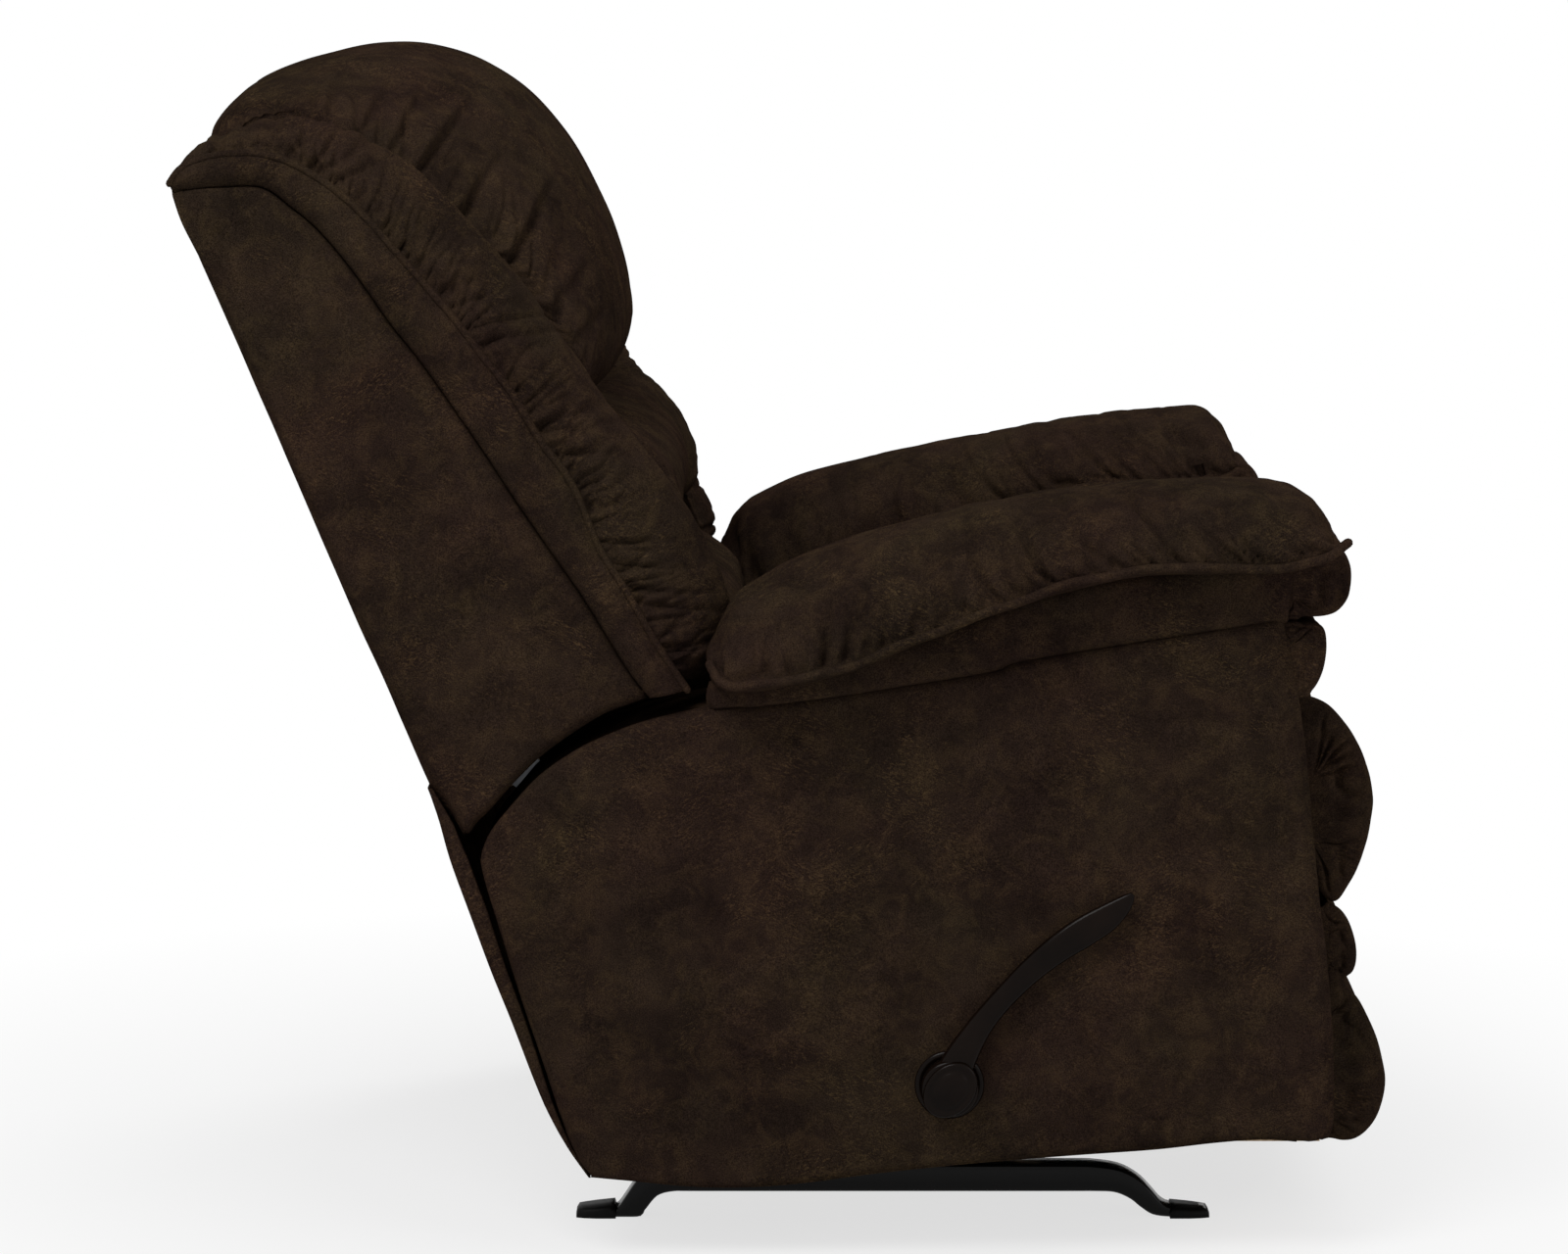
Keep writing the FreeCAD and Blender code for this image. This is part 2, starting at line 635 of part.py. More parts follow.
def rocker_springs():
    """Four coil springs that bring the chair back to its middle position."""
    low = RAIL_TOP - CROSS_WALL + FIT_GAP
    high = CAM_TOP - LUG_THICK - FIT_GAP
    springs = []
    for name, side in SIDES:
        for direction in (-1, 1):
            x = BASE_MIDDLE + direction * CROSS_SPREAD
            y = side * (PLATE_INSIDE - CAM_THICK - SPRING_INSET)
            base = FreeCAD.Vector(x, y, low)
            coil = Part.makeCylinder(SPRING_RADIUS, high - low, base)
            bore = Part.makeCylinder(SPRING_RADIUS - SPRING_WIRE, high - low, base)
            springs.append(coil.cut(bore))
    return springs


def seat_slot(side, place):
    """The slanted slot in a mechanism plate that a seat pin runs in."""
    start = (place, SEAT_RAIL_BOTTOM + SEAT_RAIL_HEIGHT / 2)
    start = polar(start, -SLOT_SPARE, SEAT_SLOPE)
    end = polar(start, SEAT_TRAVEL + 2 * SLOT_SPARE, SEAT_SLOPE)
    half = SEAT_PIN_RADIUS + RUN_CLEARANCE
    return bar(side, PLATE_INSIDE - OVERRUN, INNER_HALF + OVERRUN, start, end, half)


def mechanism_plate(side):
    """Stamped side plate with the pivots of the back, the seat and the footrest."""
    eye_rear = RECLINE_PIVOT[0] - PLATE_BAND
    eye_front = SWING_PIVOT[0] + PLATE_BAND
    web_front = BASE_MIDDLE + PLATE_WEB_HALF
    web_rear = BASE_MIDDLE - PLATE_WEB_HALF
    low_front = SWING_PIVOT[1] - PLATE_BAND
    low_rear = RECLINE_PIVOT[1] - PLATE_BAND
    nose = (eye_front, SWING_PIVOT[1])
    tail = (eye_rear, RECLINE_PIVOT[1])
    flank = PLATE_BAND
    plate = slab(side, PLATE_INSIDE, INNER_HALF,
                 (web_rear, PLATE_WEB_BOTTOM), (web_front, PLATE_WEB_BOTTOM), (web_front, PLATE_LOW_EDGE - flank),
                 (web_front + flank, PLATE_LOW_EDGE), (SWING_PIVOT[0], low_front),
                 (polar(SWING_PIVOT, PLATE_BAND, -QUARTER_TURN / 2), nose),
                 (eye_front - flank / 2, PLATE_TOP), (RECLINE_PIVOT[0] + PLATE_BAND + flank, PLATE_TOP),
                 (RECLINE_PIVOT[0], RECLINE_PIVOT[1] + PLATE_BAND),
                 (polar(RECLINE_PIVOT, PLATE_BAND, QUARTER_TURN + QUARTER_TURN / 2), tail),
                 (polar(RECLINE_PIVOT, PLATE_BAND, HALF_TURN + QUARTER_TURN / 2), (RECLINE_PIVOT[0], low_rear)),
                 (web_rear, low_rear - flank))
    for place in SEAT_PIN_PLACES:
        plate = plate.cut(seat_slot(side, place))
    bore = TUBE_RADIUS + RUN_CLEARANCE
    plate = plate.cut(rod(side, PLATE_INSIDE - OVERRUN, INNER_HALF + OVERRUN, TUBE_AXIS, bore))
    for place in BOLT_PLACES:
        hole = BOLT_RADIUS + SLIDE_GAP
        plate = plate.cut(rod(side, PLATE_INSIDE - OVERRUN, INNER_HALF + OVERRUN, place, hole))
    swing_pin = pinned(side, SWING_PIVOT, INNER_HALF, 1)
    guide_pin = pinned(side, GUIDE_PIVOT, INNER_HALF, 3)
    bracket_face = recline_bracket_faces()[0] - FIT_GAP
    recline_pin = rod(side, bracket_face - HEAD_THICK, INNER_HALF, RECLINE_PIVOT, RECLINE_PIN_RADIUS)
    head = rod(side, bracket_face - HEAD_THICK, bracket_face, RECLINE_PIVOT, RECLINE_PIN_RADIUS + HEAD_THICK)
    return plate.fuse([swing_pin, guide_pin, recline_pin, head]).removeSplitter()


def mechanism_bolts():
    """Carriage bolts that hold the mechanism plates to the arms."""
    bolts = []
    for name, side in SIDES:
        for place in BOLT_PLACES:
            shank = rod(side, PLATE_INSIDE, INNER_HALF + INNER_PANEL, place, BOLT_RADIUS)
            head = rod(side, PLATE_INSIDE - BOLT_HEAD_THICK, PLATE_INSIDE, place, BOLT_HEAD)
            bolts.append(shank.fuse(head))
    return bolts


def bolt_holes(shape, side):
    """Cuts the bolt holes through an inner arm panel."""
    for place in BOLT_PLACES:
        hole = BOLT_RADIUS + FIT_GAP
        shape = shape.cut(rod(side, INNER_HALF - OVERRUN, INNER_HALF + INNER_PANEL + OVERRUN, place, hole))
    return shape


def drive_tube():
    """Tube across the chair that the handle turns, with a crank beside each plate."""
    left_end = INNER_HALF - FIT_GAP
    right_end = PANEL_OUTSIDE + ESCUTCHEON_THICK + HANDLE_GAP + HUB_THICK / 2
    length = left_end + right_end
    base = FreeCAD.Vector(TUBE_AXIS[0], -right_end, TUBE_AXIS[1])
    along = FreeCAD.Vector(0, 1, 0)
    tube = Part.makeCylinder(TUBE_RADIUS, length, base, along)
    tube = tube.cut(Part.makeCylinder(TUBE_RADIUS - TUBE_WALL, length, base, along))
    near, far = layer(6)
    outer_face = layer(5)[1] + FIT_GAP
    for name, side in SIDES:
        crank = bar(side, near, far, TUBE_AXIS, CRANK_END, LINK_HALF)
        crank = crank.cut(rod(side, near - OVERRUN, far + OVERRUN, TUBE_AXIS, TUBE_RADIUS - TUBE_WALL / 2))
        pin = rod(side, near, outer_face + HEAD_THICK, CRANK_END, PIN_RADIUS)
        head = rod(side, outer_face, outer_face + HEAD_THICK, CRANK_END, HEAD_RADIUS)
        tube = tube.fuse([crank, pin, head])
    return tube.removeSplitter()


def drive_links():
    """Rods from the cranks to the swing links."""
    near, far = layer(5)
    links = []
    for name, side in SIDES:
        link = bar(side, near, far, CRANK_END, DRIVE_PIVOT, LINK_HALF)
        link = drilled(link, side, 5, CRANK_END, PIN_HOLE)
        links.append(drilled(link, side, 5, DRIVE_PIVOT, DRIVE_HOLE))
    return links


def handle_escutcheon():
    """Round plate on the right arm that the handle's hub turns over."""
    disc = rod(-1, PANEL_OUTSIDE, PANEL_OUTSIDE + ESCUTCHEON_THICK, TUBE_AXIS, ESCUTCHEON_RADIUS)
    bore = TUBE_RADIUS + SLIDE_GAP
    disc = disc.cut(rod(-1, PANEL_OUTSIDE - OVERRUN, PANEL_OUTSIDE + OVERRUN, TUBE_AXIS, bore))
    rim = [edge for edge in disc.Edges if edge.BoundBox.YMax < -PANEL_OUTSIDE - ESCUTCHEON_THICK / 2
           and edge.BoundBox.XLength > ESCUTCHEON_RADIUS]
    return disc.makeChamfer(ESCUTCHEON_THICK / 2, rim)


def blade_wire(centre, along, half_wide, half_thick):
    """A section of the blade square to a direction in side view, with bevelled edges."""
    def place(point):
        return centre + FreeCAD.Vector(-along[1] * point[0], point[1], along[0] * point[0])

    flat = half_wide * BEVEL_SHARE
    rim = half_thick * (1 - BEVEL_SHARE)
    corners = ((half_wide, rim), (flat, half_thick), (-flat, half_thick), (-half_wide, rim),
               (-half_wide, -rim), (-flat, -half_thick), (flat, -half_thick))
    return closed_wire(place, (half_wide, -rim), corners)


def handle_lever():
    """Curved lever with a round hub, a slim waist and a blade that widens near its tip."""
    inside = PANEL_OUTSIDE + ESCUTCHEON_THICK + HANDLE_GAP
    hub = rod(-1, inside, inside + HUB_THICK, TUBE_AXIS, HUB_RADIUS)
    y = -(inside + HUB_THICK / 2)
    direction = math.radians(HANDLE_ANGLE)
    forward = (math.cos(direction), math.sin(direction))
    upward = (-forward[1], forward[0])
    wires = []
    for share, wide_share, thick_share in BLADE_SHARES:
        bow = HANDLE_BOW * 4 * share * (1 - share)
        slope = HANDLE_BOW * 4 * (1 - 2 * share) / HANDLE_REACH
        x = TUBE_AXIS[0] + forward[0] * HANDLE_REACH * share + upward[0] * bow
        z = TUBE_AXIS[1] + forward[1] * HANDLE_REACH * share + upward[1] * bow
        length = math.hypot(1, slope)
        along = ((forward[0] + upward[0] * slope) / length, (forward[1] + upward[1] * slope) / length)
        centre = FreeCAD.Vector(x, y, z)
        wires.append(blade_wire(centre, along, HUB_RADIUS * wide_share, HANDLE_THICK * thick_share / 2))
    blade = Part.makeLoft(wires, True, True)
    bore = rod(-1, inside - OVERRUN, inside + HUB_THICK / 2, TUBE_AXIS, TUBE_RADIUS + RUN_CLEARANCE)
    return hub.fuse(blade).cut(bore).removeSplitter()


def handle_cap():
    """Oval cap over the hub of the handle."""
    near = PANEL_OUTSIDE + ESCUTCHEON_THICK + HANDLE_GAP + HUB_THICK
    base = FreeCAD.Vector(TUBE_AXIS[0], -(near + CAP_THICK), TUBE_AXIS[1])
    angle = math.radians(HANDLE_ANGLE)
    along = FreeCAD.Vector(math.cos(angle), 0, math.sin(angle))
    sideways = FreeCAD.Vector(-along.z, 0, along.x)

    def place(point):
        return base + along * point[0] + sideways * point[1]

    end = CAP_HALF_LENGTH * CAP_CORNER_SHARES[0]
    edge = CAP_HALF_WIDTH * CAP_CORNER_SHARES[1]
    wire = closed_wire(place, (-end, -edge), (
        ((0.0, -CAP_HALF_WIDTH), (end, -edge)), ((CAP_HALF_LENGTH, 0.0), (end, edge)),
        ((0.0, CAP_HALF_WIDTH), (-end, edge)), ((-CAP_HALF_LENGTH, 0.0), (-end, -edge))))
    cap = Part.Face(wire).extrude(FreeCAD.Vector(0, CAP_THICK, 0))
    rim = [rib for rib in cap.Edges if rib.BoundBox.YMax < -near - CAP_THICK / 2]
    return cap.makeChamfer(CAP_THICK / 2, rim)


def corner_point(degrees, radius=CORNER_RADIUS):
    """A point on the arm's rounded corner, about the recline pivot."""
    return polar(RECLINE_PIVOT, radius, degrees)


def front_edge_middle():
    """The point that the bowed front edge of the arm passes through."""
    return arc_point(ARM_FRONT_BOTTOM, ARM_TOP_FRONT, ARM_FRONT_BOW)


def arm_outer_panel(side):
    """Upholstered outer panel of an arm."""
    start = corner_point(CORNER_START_ANGLE)
    end = corner_point(CORNER_END_ANGLE)
    middle = corner_point((CORNER_START_ANGLE + CORNER_END_ANGLE) / 2)
    toe = shifted(between(ARM_BOTTOM_FRONT, ARM_FRONT_BOTTOM, MIDDLE_SHARE), ARM_FRONT_BOW, -ARM_FRONT_BOW)
    panel = slab(side, PANEL_INSIDE, PANEL_OUTSIDE, ARM_REAR_BOTTOM, ARM_BOTTOM_REAR, ARM_BOTTOM_MIDDLE,
                 ARM_BOTTOM_FRONT, (toe, ARM_FRONT_BOTTOM), (front_edge_middle(), ARM_TOP_FRONT),
                 end, (middle, start))
    if side < 0:
        bore = TUBE_RADIUS + SLIDE_GAP
        panel = panel.cut(rod(side, PANEL_INSIDE - OVERRUN, PANEL_OUTSIDE + OVERRUN, TUBE_AXIS, bore))
    return panel


def pad_floor(along, welt_share):
    """The place of the pad's underside, which rests on the seam where it comes down to it."""
    x = PAD_REAR + PAD_LENGTH * along
    z = PAD_FOOT + (PAD_CREST - PAD_FOOT) * welt_share - PAD_UNDERCUT
    return x, max(z, seam_height(x) + SEAM_COVER)


def seam_height(x):
    """Height of the seam along the top of the outer panel."""
    end = corner_point(CORNER_END_ANGLE)
    share = (x - end[0]) / (ARM_TOP_FRONT[0] - end[0])
    return end[1] + (ARM_TOP_FRONT[1] - end[1]) * share


def arm_top_points(gap):
    """The underside of the pad over the arm, lowered by a gap."""
    floor = [pad_floor(along, welt) for along, welt, crest, width in PAD_SHARES[1:-2]]
    return [shifted(point, 0, -gap) for point in floor]


def arm_inner_panel(side):
    """Upholstered inner panel of an arm, beside the seat."""
    top = arm_top_points(FIT_GAP)
    front_low = (ARM_FRONT_BOTTOM[0] - FRONT_COVER - FIT_GAP, INNER_PANEL_BOTTOM + FRONT_COVER)
    front_high = (ARM_TOP_FRONT[0] - FRONT_COVER - FIT_GAP, ARM_TOP_FRONT[1])
    front_top = (front_high[0], top[-1][1])
    rear_low = (ARM_REAR_BOTTOM[0] + FRONT_COVER, INNER_PANEL_BOTTOM)
    rear_high = corner_point(CORNER_START_ANGLE, CORNER_RADIUS - FRONT_COVER)
    arc_end = corner_point(CORNER_END_ANGLE, CORNER_RADIUS - FRONT_COVER)
    arc_middle = corner_point((CORNER_START_ANGLE + CORNER_END_ANGLE) / 2, CORNER_RADIUS - FRONT_COVER)
    toe = (front_low[0] - FRONT_COVER, INNER_PANEL_BOTTOM)
    panel = slab(side, INNER_HALF, INNER_HALF + INNER_PANEL, rear_low, toe, front_low, front_high, front_top,
                 *top[::-1], arc_end, (arc_middle, rear_high))
    panel = bolt_holes(panel, side)
    bore = TUBE_RADIUS + SLIDE_GAP
    return panel.cut(rod(side, INNER_HALF - OVERRUN, INNER_HALF + INNER_PANEL + OVERRUN, TUBE_AXIS, bore))


def arm_frame_outline(inset):
    """Side view of the wooden box inside an arm, drawn in by a distance."""
    top = [(x, z - inset) for x, z in arm_top_points(FIT_GAP)]
    front_x = ARM_TOP_FRONT[0] - FRONT_COVER - PANEL_CLEAR - inset
    low_x = ARM_FRONT_BOTTOM[0] - FRONT_COVER - PANEL_CLEAR - inset
    bottom = INNER_PANEL_BOTTOM + PANEL_CLEAR + inset
    rear_low = (ARM_REAR_BOTTOM[0] + FRONT_COVER + PANEL_CLEAR + inset, bottom)
    radius = CORNER_RADIUS - FRONT_COVER - PANEL_CLEAR - inset
    rear_high = corner_point(CORNER_START_ANGLE, radius)
    arc_end = corner_point(CORNER_END_ANGLE, radius)
    arc_middle = corner_point((CORNER_START_ANGLE + CORNER_END_ANGLE) / 2, radius)
    top = [point for point in top if point[0] < front_x]
    seam = (front_x, ARM_TOP_FRONT[1] - inset)
    front = [(low_x, bottom), seam, (front_x, top[-1][1])]
    return [rear_low] + front + top[::-1] + [arc_end, (arc_middle, rear_high)]


def arm_frame(side):
    """Wooden box of boards inside an arm, open between its rails and posts."""
    near = INNER_HALF + INNER_PANEL + FIT_GAP
    far = PANEL_INSIDE - FIT_GAP
    solid = slab(side, near, far, *arm_frame_outline(0.0))
    window = slab(side, near - OVERRUN, far + OVERRUN, *arm_frame_outline(ARM_BOARD))
    return solid.cut(window)


def arm_band(side):
    """Padded strip between the outer panel and the arm pad."""
    top = arm_top_points(FIT_GAP)
    rear = corner_point(CORNER_END_ANGLE)
    lower = [(rear[0], rear[1] + FIT_GAP), (ARM_TOP_FRONT[0], ARM_TOP_FRONT[1] + FIT_GAP)]
    upper = [(ARM_TOP_FRONT[0], top[-1][1])] + top[::-1]
    return slab(side, PANEL_INSIDE, PANEL_INSIDE + BAND_THICK, *lower, *upper)


def arm_edge(side):
    """Covered edge of an arm, up its rear and round its corner."""
    start = corner_point(CORNER_START_ANGLE)
    end = corner_point(CORNER_END_ANGLE)
    middle_angle = (CORNER_START_ANGLE + CORNER_END_ANGLE) / 2
    inside = CORNER_RADIUS - FRONT_COVER + FIT_GAP
    rise = (INNER_PANEL_BOTTOM - ARM_REAR_BOTTOM[1]) / (start[1] - ARM_REAR_BOTTOM[1])
    heel = (ARM_REAR_BOTTOM[0] + FRONT_COVER - FIT_GAP, INNER_PANEL_BOTTOM)
    return slab(side, INNER_HALF, PANEL_INSIDE - FIT_GAP, heel, between(ARM_REAR_BOTTOM, start, rise), start,
                (corner_point(middle_angle), end), corner_point(CORNER_END_ANGLE, inside),
                (corner_point(middle_angle, inside), corner_point(CORNER_START_ANGLE, inside)))


def arm_pad(side):
    """Pillow that tops an arm and overhangs it on both sides."""
    outer = PANEL_OUTSIDE + PAD_OVERHANG_OUT
    inner = INNER_HALF - PAD_OVERHANG_IN
    middle = (outer + inner) / 2
    half = (outer - inner) / 2
    rise = PAD_CREST - PAD_FOOT
    wires = []
    for along, welt_share, crest_share, width in PAD_SHARES:
        x = PAD_REAR + PAD_LENGTH * along
        welt = PAD_FOOT + rise * welt_share
        crest = PAD_FOOT + rise * crest_share
        low = pad_floor(along, welt_share)[1]
        reach = half * width
        foot = reach - PAD_UNDERCUT * width
        shoulder = (reach * PAD_SHOULDER_SHARES[0], welt + (crest - welt) * PAD_SHOULDER_SHARES[1])
        brow = (reach * PAD_BROW_SHARES[0], welt + (crest - welt) * PAD_BROW_SHARES[1])
        wires.append(arm_section(side, x, middle, (foot, low), (reach, welt), shoulder, brow, crest))
    return Part.makeLoft(wires, True, True)


def arm_section(side, x, middle, foot, welt, shoulder, brow, crest):
    """Cross section of an arm pad: flat below, with a welt at each side and a rounded top."""
    def place(point):
        return FreeCAD.Vector(x, side * (middle + point[0]), point[1])

    def mirrored(point):
        return (-point[0], point[1])

    return closed_wire(place, mirrored(foot), (
        foot, welt, (shoulder, brow), ((0.0, crest), mirrored(brow)), (mirrored(shoulder), mirrored(welt))))


def arm_front_pad(side):
    """Front cover of an arm with two gathered rolls under the tip of the pad."""
    low = (ARM_FRONT_BOTTOM[0], INNER_PANEL_BOTTOM + FRONT_COVER)
    high = ARM_TOP_FRONT
    middle = front_edge_middle()
    top_z = ROLL_TOP
    rear_low, rear_middle, rear_high = [shifted(point, -FRONT_COVER, 0) for point in (low, middle, high)]
    cover = slab(side, INNER_HALF + FIT_GAP, PANEL_INSIDE - FIT_GAP, rear_low, low, (middle, high),
                 (high[0], top_z), (rear_high[0], top_z), rear_high, (rear_middle, rear_low))
    back = ARM_TOP_FRONT[0] + FRONT_COVER + ARM_FRONT_BOW
    lower_centre = (ROLL_BOTTOM + ROLL_SPLIT) / 2
    upper_centre = (ROLL_SPLIT + ROLL_TOP) / 2
    notch = (LOWER_ROLL_FRONT - FRONT_COVER, ROLL_SPLIT)
    rolls = slab(side, INNER_HALF + FIT_GAP, PANEL_OUTSIDE - PANEL_CLEAR, (back, ROLL_BOTTOM),
                 ((LOWER_ROLL_FRONT, lower_centre), notch),
                 ((UPPER_ROLL_FRONT, upper_centre), (notch[0], ROLL_TOP)), (back, ROLL_TOP))
    neck = slab(side, INNER_HALF + FIT_GAP, PANEL_INSIDE - FIT_GAP,
                *box_outline(high[0], ROLL_BOTTOM + FRONT_COVER, back, ROLL_TOP))
    return cover.fuse([rolls, neck]).removeSplitter()


def seat_side_rail(side):
    """Side rail of the seat with two pins that run in the mechanism plate."""
    near = SEAT_RAIL_OUTER - SEAT_RAIL_WIDTH
    top = SEAT_RAIL_BOTTOM + SEAT_RAIL_HEIGHT
    rail = slab(side, near, SEAT_RAIL_OUTER, *box_outline(SEAT_REAR, SEAT_RAIL_BOTTOM, SEAT_FRONT, top))
    for place in SEAT_PIN_PLACES:
        centre = (place, SEAT_RAIL_BOTTOM + SEAT_RAIL_HEIGHT / 2)
        rail = rail.fuse(rod(side, SEAT_RAIL_OUTER, INNER_HALF - SLIDE_GAP, centre, SEAT_PIN_RADIUS))
    return rail.removeSplitter()


def seat_cross_rail(low_x):
    """Wooden rail between the side rails of the seat."""
    half = SEAT_RAIL_OUTER - SEAT_RAIL_WIDTH
    top = SEAT_RAIL_BOTTOM + SEAT_RAIL_HEIGHT
    return across(half, *box_outline(low_x, SEAT_RAIL_BOTTOM, low_x + SEAT_RAIL_WIDTH, top))


def seat_springs():
    """Zigzag springs from the front to the rear rail of the seat."""
    start = SEAT_REAR + SEAT_RAIL_WIDTH / 2
    end = SEAT_FRONT - SEAT_RAIL_WIDTH / 2
    count = int((end - start) / STRIP_STEP)
    step = (end - start) / count
    low = SEAT_RAIL_BOTTOM + SEAT_RAIL_HEIGHT
    pitch = 2 * (SEAT_RAIL_OUTER - SEAT_RAIL_WIDTH) / SPRING_STRIPS
    half_wide = STRIP_WIRE / 2 * math.hypot(step, 2 * STRIP_HALF) / step
    strips = []
    for number in range(SPRING_STRIPS):
        middle = pitch * (number - (SPRING_STRIPS - 1) / 2)
        there = []
        back = []
        for turn in range(count + 1):
            x = start + step * turn
            y = middle + STRIP_HALF * (1 if turn % 2 else -1)
            there.append(FreeCAD.Vector(x, y - half_wide, low))
            back.append(FreeCAD.Vector(x, y + half_wide, low))
        points = there + back[::-1]
        face = Part.Face(Part.makePolygon(points + points[:1]))
        strips.append(face.extrude(FreeCAD.Vector(0, 0, CUSHION_BOTTOM - FIT_GAP - low)))
    return strips


def seat_outline(ease):
    """The seat cushion in side view, with its rolled front, drawn in at the sides."""
    rear_top = (CUSHION_REAR, CUSHION_REAR_TOP - ease)
    top = CUSHION_TOP - ease
    front = CUSHION_ROLL_FRONT - ease
    belly = (front, (top + CUSHION_ROLL_BOTTOM) / 2)
    crown = (CUSHION_REAR + (front - CUSHION_REAR) * SEAT_CROWN_SHARE, top)
    brow = (CUSHION_REAR + (front - CUSHION_REAR) * SEAT_BROW_SHARE, top)
    lip = (SEAT_FRONT + SEAT_RAIL_WIDTH, CUSHION_ROLL_BOTTOM)
    neck = (SEAT_FRONT + FIT_GAP, CUSHION_ROLL_BOTTOM + SEAT_RAIL_WIDTH / 2)
    shoulder = (SEAT_FRONT + FIT_GAP, CUSHION_BOTTOM)
    under = (arc_point(lip, belly, SEAT_RAIL_WIDTH / 2), belly)
    over = (arc_point(belly, brow, SEAT_RAIL_WIDTH), brow)
    rear = (arc_point(crown, rear_top, SEAT_RAIL_WIDTH / 2), rear_top)
    return (CUSHION_REAR, CUSHION_BOTTOM), shoulder, neck, lip, under, over, crown, rear


def seat_cushion():
    """Seat cushion with a rolled front edge."""
    return crowned(INNER_HALF - SEAT_GAP, seat_outline, CUSHION_CROWN)


BACK_ORIGIN = polar(RECLINE_PIVOT, BACK_CORNER_RADIUS, BACK_CORNER_ANGLE)


def on_back(along, over):
    """A side view point from its place along the back's rear face and across it."""
    lean = math.radians(BACK_LEAN)
    x = BACK_ORIGIN[0] - along * math.sin(lean) + over * math.cos(lean)
    z = BACK_ORIGIN[1] + along * math.cos(lean) + over * math.sin(lean)
    return (x, z)


def back_arc_ends():
    """Both ends and the middle of the back's lower edge, which clears the arm's corner."""
    radius = CORNER_RADIUS + BACK_ARC_GAP
    rear = polar(RECLINE_PIVOT, radius, CORNER_START_ANGLE - BACK_ARC_GAP / 2)
    front = polar(RECLINE_PIVOT, radius, CORNER_END_ANGLE + BACK_ARC_GAP / 2)
    middle = polar(RECLINE_PIVOT, radius, (CORNER_START_ANGLE + CORNER_END_ANGLE) / 2)
    return rear, middle, front


def back_side_panel(side):
    """Flat upholstered side of the back, with its lower edge round the arm's corner."""
    rear, middle, front = back_arc_ends()
    heel = on_back(BACK_LENGTH * PANEL_HEEL_SHARE, 0.0)
    corner = on_back(BACK_LENGTH * PANEL_CORNER_SHARES[0], BACK_DEPTH * PANEL_CORNER_SHARES[1])
    edge = [on_back(BACK_LENGTH * along, BACK_DEPTH * panel) for along, panel, crest, inner in WING_SHARES[:-1]]
    return slab(side, BACK_HALF - BACK_SIDE, BACK_HALF, heel, on_back(BACK_LENGTH, 0.0),
                corner, *edge[::-1], front, (middle, rear))


def back_outer_panel():
    """Flat panel that closes the back from behind and turns forward over its top rail."""
    half = BACK_HALF - BACK_SIDE - FIT_GAP
    lid = BACK_LENGTH - POST_REAR_GAP + FIT_GAP
    depth = BACK_BOARD + POST_HEAD_DEPTH
    return across(half, on_back(0.0, 0.0), on_back(BACK_LENGTH, 0.0), on_back(BACK_LENGTH, depth),
                  on_back(lid, depth), on_back(lid, BACK_BOARD), on_back(0.0, BACK_BOARD))


def back_frame():
    """Wooden frame of the back: two posts and three rails."""
    rear = BACK_BOARD + POST_REAR_GAP
    foot = -POST_DROP
    head = BACK_LENGTH - POST_REAR_GAP
    solids = []
    for name, side in SIDES:
        solids.append(slab(side, POST_INNER, POST_INNER + POST_WIDTH, on_back(foot, rear), on_back(head, rear),
                           on_back(head, rear + POST_HEAD_DEPTH), on_back(foot, rear + POST_FOOT_DEPTH)))
    half = BACK_HALF - BACK_SIDE - FIT_GAP
    for start in (POST_REAR_GAP, (BACK_LENGTH - BACK_RAIL_HEIGHT) / 2, head - BACK_RAIL_HEIGHT):
        end = start + BACK_RAIL_HEIGHT
        solids.append(across(half, on_back(start, BACK_BOARD + FIT_GAP), on_back(end, BACK_BOARD + FIT_GAP),
                             on_back(end, rear + POST_HEAD_DEPTH), on_back(start, rear + POST_HEAD_DEPTH)))
    return solids[0].fuse(solids[1:]).removeSplitter()


def recline_bracket_faces():
    """Inner and outer face of the brackets that the back turns on."""
    inner = POST_INNER + POST_WIDTH
    return inner, inner + BRACKET_THICK


def recline_brackets():
    """Steel straps from the back's posts to the recline pivots."""
    near, far = recline_bracket_faces()
    over = BACK_BOARD + POST_REAR_GAP + POST_HEAD_DEPTH + RECLINE_EYE + FIT_GAP
    low = on_back(-POST_DROP / 2, over)
    high = on_back(BACK_RAIL_HEIGHT, over)
    straps = []
    for name, side in SIDES:
        strap = bar(side, near, far, RECLINE_PIVOT, low, RECLINE_EYE)
        strap = strap.fuse(bar(side, near, far, low, high, RECLINE_EYE))
        hole = rod(side, near - OVERRUN, far + OVERRUN, RECLINE_PIVOT, RECLINE_PIN_RADIUS + RUN_CLEARANCE)
        straps.append(strap.cut(hole).removeSplitter())
    return straps


def back_wing(side):
    """Gathered bolster down one side of the back."""
    wires = []
    for along, panel, crest, inner in WING_SHARES:
        station = BACK_LENGTH * along
        root = BACK_DEPTH * panel + FIT_GAP
        top = BACK_DEPTH * crest
        inside = BACK_DEPTH * inner
        flank = (BACK_HALF - WING_CREST_INSET * WING_FLANK_SHARES[0], root + (top - root) * WING_FLANK_SHARES[1])
        hollow = (WING_INNER + WING_CREST_INSET * WING_HOLLOW_SHARE, (top + inside) / 2 + WING_SWELL)
        wires.append(wing_section(side, station, root, flank, (BACK_HALF - WING_CREST_INSET, top), hollow, inside))
    return Part.makeLoft(wires, True, True)


